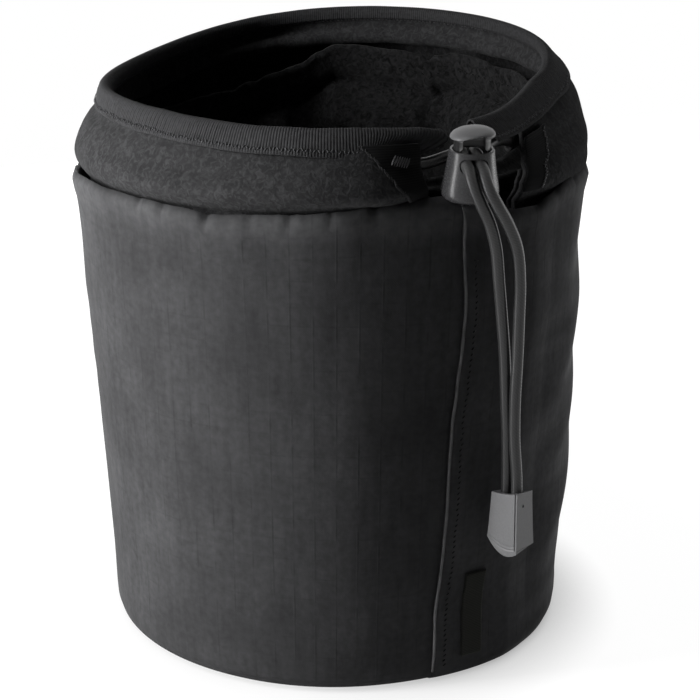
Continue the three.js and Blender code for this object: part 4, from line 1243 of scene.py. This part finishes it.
spring_radius, spring_wire, spring_turns = 2.775, 0.225, 3
spring_foot, spring_rise, spring_steps = 1.525, 2.9, 90
spring_finish, spring_tree, spring_shader = finish_of(
    "drawn_wire", (0.55, 0.56, 0.58), roughness=0.3, specular=0.5)
spring_shader.inputs["Metallic"].default_value = 1.0
spring_drawn = mottle(spring_tree, spot_of(spring_tree), 4000.0)
spring_tree.links.new(carried(spring_tree, spring_drawn, 0.0, 1.0, 0.22, 0.4),
                      spring_shader.inputs["Roughness"])
spring_line = []
for i in range(spring_steps + 1):
    angle = 2 * math.pi * spring_turns * i / spring_steps
    spring_line.append(Vector((spring_radius * math.cos(angle), spring_radius * math.sin(angle),
                               spring_foot + spring_rise * i / spring_steps)))
spring_form = tube(spring_line, line_frames(spring_line, Vector((1, 0, 0))), 10, (1.4, 52),
                   lambda i, turn: spring_wire)
spring = piece_of(in_lock(spring_form), "spring_wire", spring_finish, ("lock_spring",))
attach(spring, "cord_lock")
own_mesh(spring)

# Cord end: a small moulded clip, a flaring tray with a hinged lid on its outer side, closed over the knot
# in the two tails.
end_place = Vector((10.1, -60.9, 45.2))
end_turn = math.radians(20)
end_height = 13.0
end_mouth_dip, end_chin = 0.3, 3.2
end_finish, end_tree, end_shader = finish_of(
    "clip_plastic", (0.17, 0.17, 0.175), roughness=0.45, specular=0.45)
end_grain = mottle(end_tree, spot_of(end_tree), 2600.0, detail=3.0)
colour_by(end_tree, end_shader, end_grain, (0.15, 0.15, 0.155), (0.2, 0.2, 0.205))
raise_by(end_tree, end_shader, end_grain, strength=0.15, depth=0.0001)


def end_block(inset, top, foot, dip, chin, mark=0.0):
    """The clip's flaring block, its mouth dipped and its chin rounded, with fine lines on the chin."""
    form = bmesh.new()
    bmesh.ops.create_cube(form, size=2.0)
    across = [e for e in form.edges if abs(e.verts[0].co.y - e.verts[1].co.y) > 1]
    bmesh.ops.subdivide_edges(form, edges=across, cuts=23, use_grid_fill=True)
    upright = [e for e in form.edges if abs(e.verts[0].co.z - e.verts[1].co.z) > 1]
    bmesh.ops.subdivide_edges(form, edges=upright, cuts=51, use_grid_fill=True)
    for v in form.verts:
        x, y, z = v.co
        height = foot + (top - foot) * (z + 1) / 2
        share = -height / end_height
        half_depth = (5.1 + 0.8 * share) / 2 - inset
        half_width = (6.4 + 1.1 * share) / 2 - inset
        line = sum(math.exp(-((height - foot - up) / 0.16) ** 2) for up in (1.5, 2.2))
        near, right = (1 - y) / 2, (1 + x) / 2
        slant = 0.5 * near + 0.6 * near * (1 - right) - 1.0 * (1 - near) * right
        height += (slant - dip * (1 - y * y)) * ((1 + z) / 2) ** 4
        height += chin * (((y + 0.25) / 1.25) ** 2 + 0.25 * max(0.0, x) ** 2) * ((1 - z) / 2) ** 4
        v.co = Vector((x * (half_depth - mark * line), y * half_width, height)) * mm
    return form


def in_end(form):
    place = Matrix.Translation(end_place * mm) @ Matrix.Rotation(end_turn, 4, "Z")
    bmesh.ops.transform(form, matrix=place, verts=form.verts)
    return form


def half_of(form, plane_point, plane_way):
    """The part of a closed form behind a plane, closed again at the cut."""
    geometry = form.verts[:] + form.edges[:] + form.faces[:]
    bmesh.ops.bisect_plane(form, geom=geometry, plane_co=Vector(plane_point) * mm, plane_no=plane_way,
                           clear_outer=True)
    bmesh.ops.holes_fill(form, edges=[e for e in form.edges if e.is_boundary], sides=0)
    return form


lid_way = Vector((0, 1, -0.55 / end_height))
down_way = Vector((0, 0, -1))
lid_room = half_of(end_block(-0.5, 3, -end_height, 0, 0), (0, -2.62, 0), lid_way)
lid_room = half_of(lid_room, (0, 0, -11.28), down_way)
tray_form = cut_form(end_block(0, 0, -end_height, end_mouth_dip, end_chin, 0.09), lid_room)
tray_form = cut_form(tray_form, end_block(0.9, -1.7, -9.2, 0, 0))
throat_form = bmesh.new()
bmesh.ops.create_cone(throat_form, cap_ends=True, segments=32, radius1=1.0, radius2=1.0, depth=8 * mm)
bmesh.ops.scale(throat_form, verts=throat_form.verts, vec=(1.45 * mm, 2.75 * mm, 1))
tray_form = cut_form(tray_form, throat_form)
tray = piece_of(in_end(tray_form), "clip_tray", end_finish, ("cord_end_body",))
soften(tray, 0.22)
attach(tray, "cord_tails")

pit_radius, pit_depth = 0.32, 0.5
lid_form = half_of(end_block(0, 0, -end_height, end_mouth_dip, end_chin), (0, -2.86, 0), lid_way)
lid_form = half_of(lid_form, (0, 0, -11.2), down_way)
lid_pit = bmesh.new()
pit_place = Matrix.Translation(Vector((-0.6, -3.35, -2.0)) * mm) @ Matrix.Rotation(math.pi / 2, 4, "X")
bmesh.ops.create_cone(lid_pit, cap_ends=True, segments=16, radius1=pit_radius * mm, radius2=pit_radius * mm,
                      depth=pit_depth * mm, matrix=pit_place)
lid_form = cut_form(lid_form, lid_pit)
lid = piece_of(in_end(lid_form), "clip_lid", end_finish, ("cord_end_lid",))
soften(lid, 0.09)
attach(lid, "end_lid")

knot_reach, knot_middle, knot_rise = 0.33, 6.4, 1.44
knot_radius, knot_sides, knot_step = 0.55, 12, 0.3
knot_points = []
for i in range(33):
    t = 2 * math.pi * i / 33
    knot_points.append(Vector((knot_reach * (math.sin(t) + 2 * math.sin(2 * t)),
                               knot_reach * (math.cos(t) - 2 * math.cos(2 * t)),
                               -knot_middle - knot_rise * math.sin(3 * t))))
knot_line = smooth_line(knot_points + knot_points[:1], knot_step)
knot_form = braid(knot_line, knot_radius, knot_sides, knot_step)
knot = piece_of(in_end(knot_form), "tail_knot", cord_finish, ("cord_knot",))
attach(knot, "cord_tails")
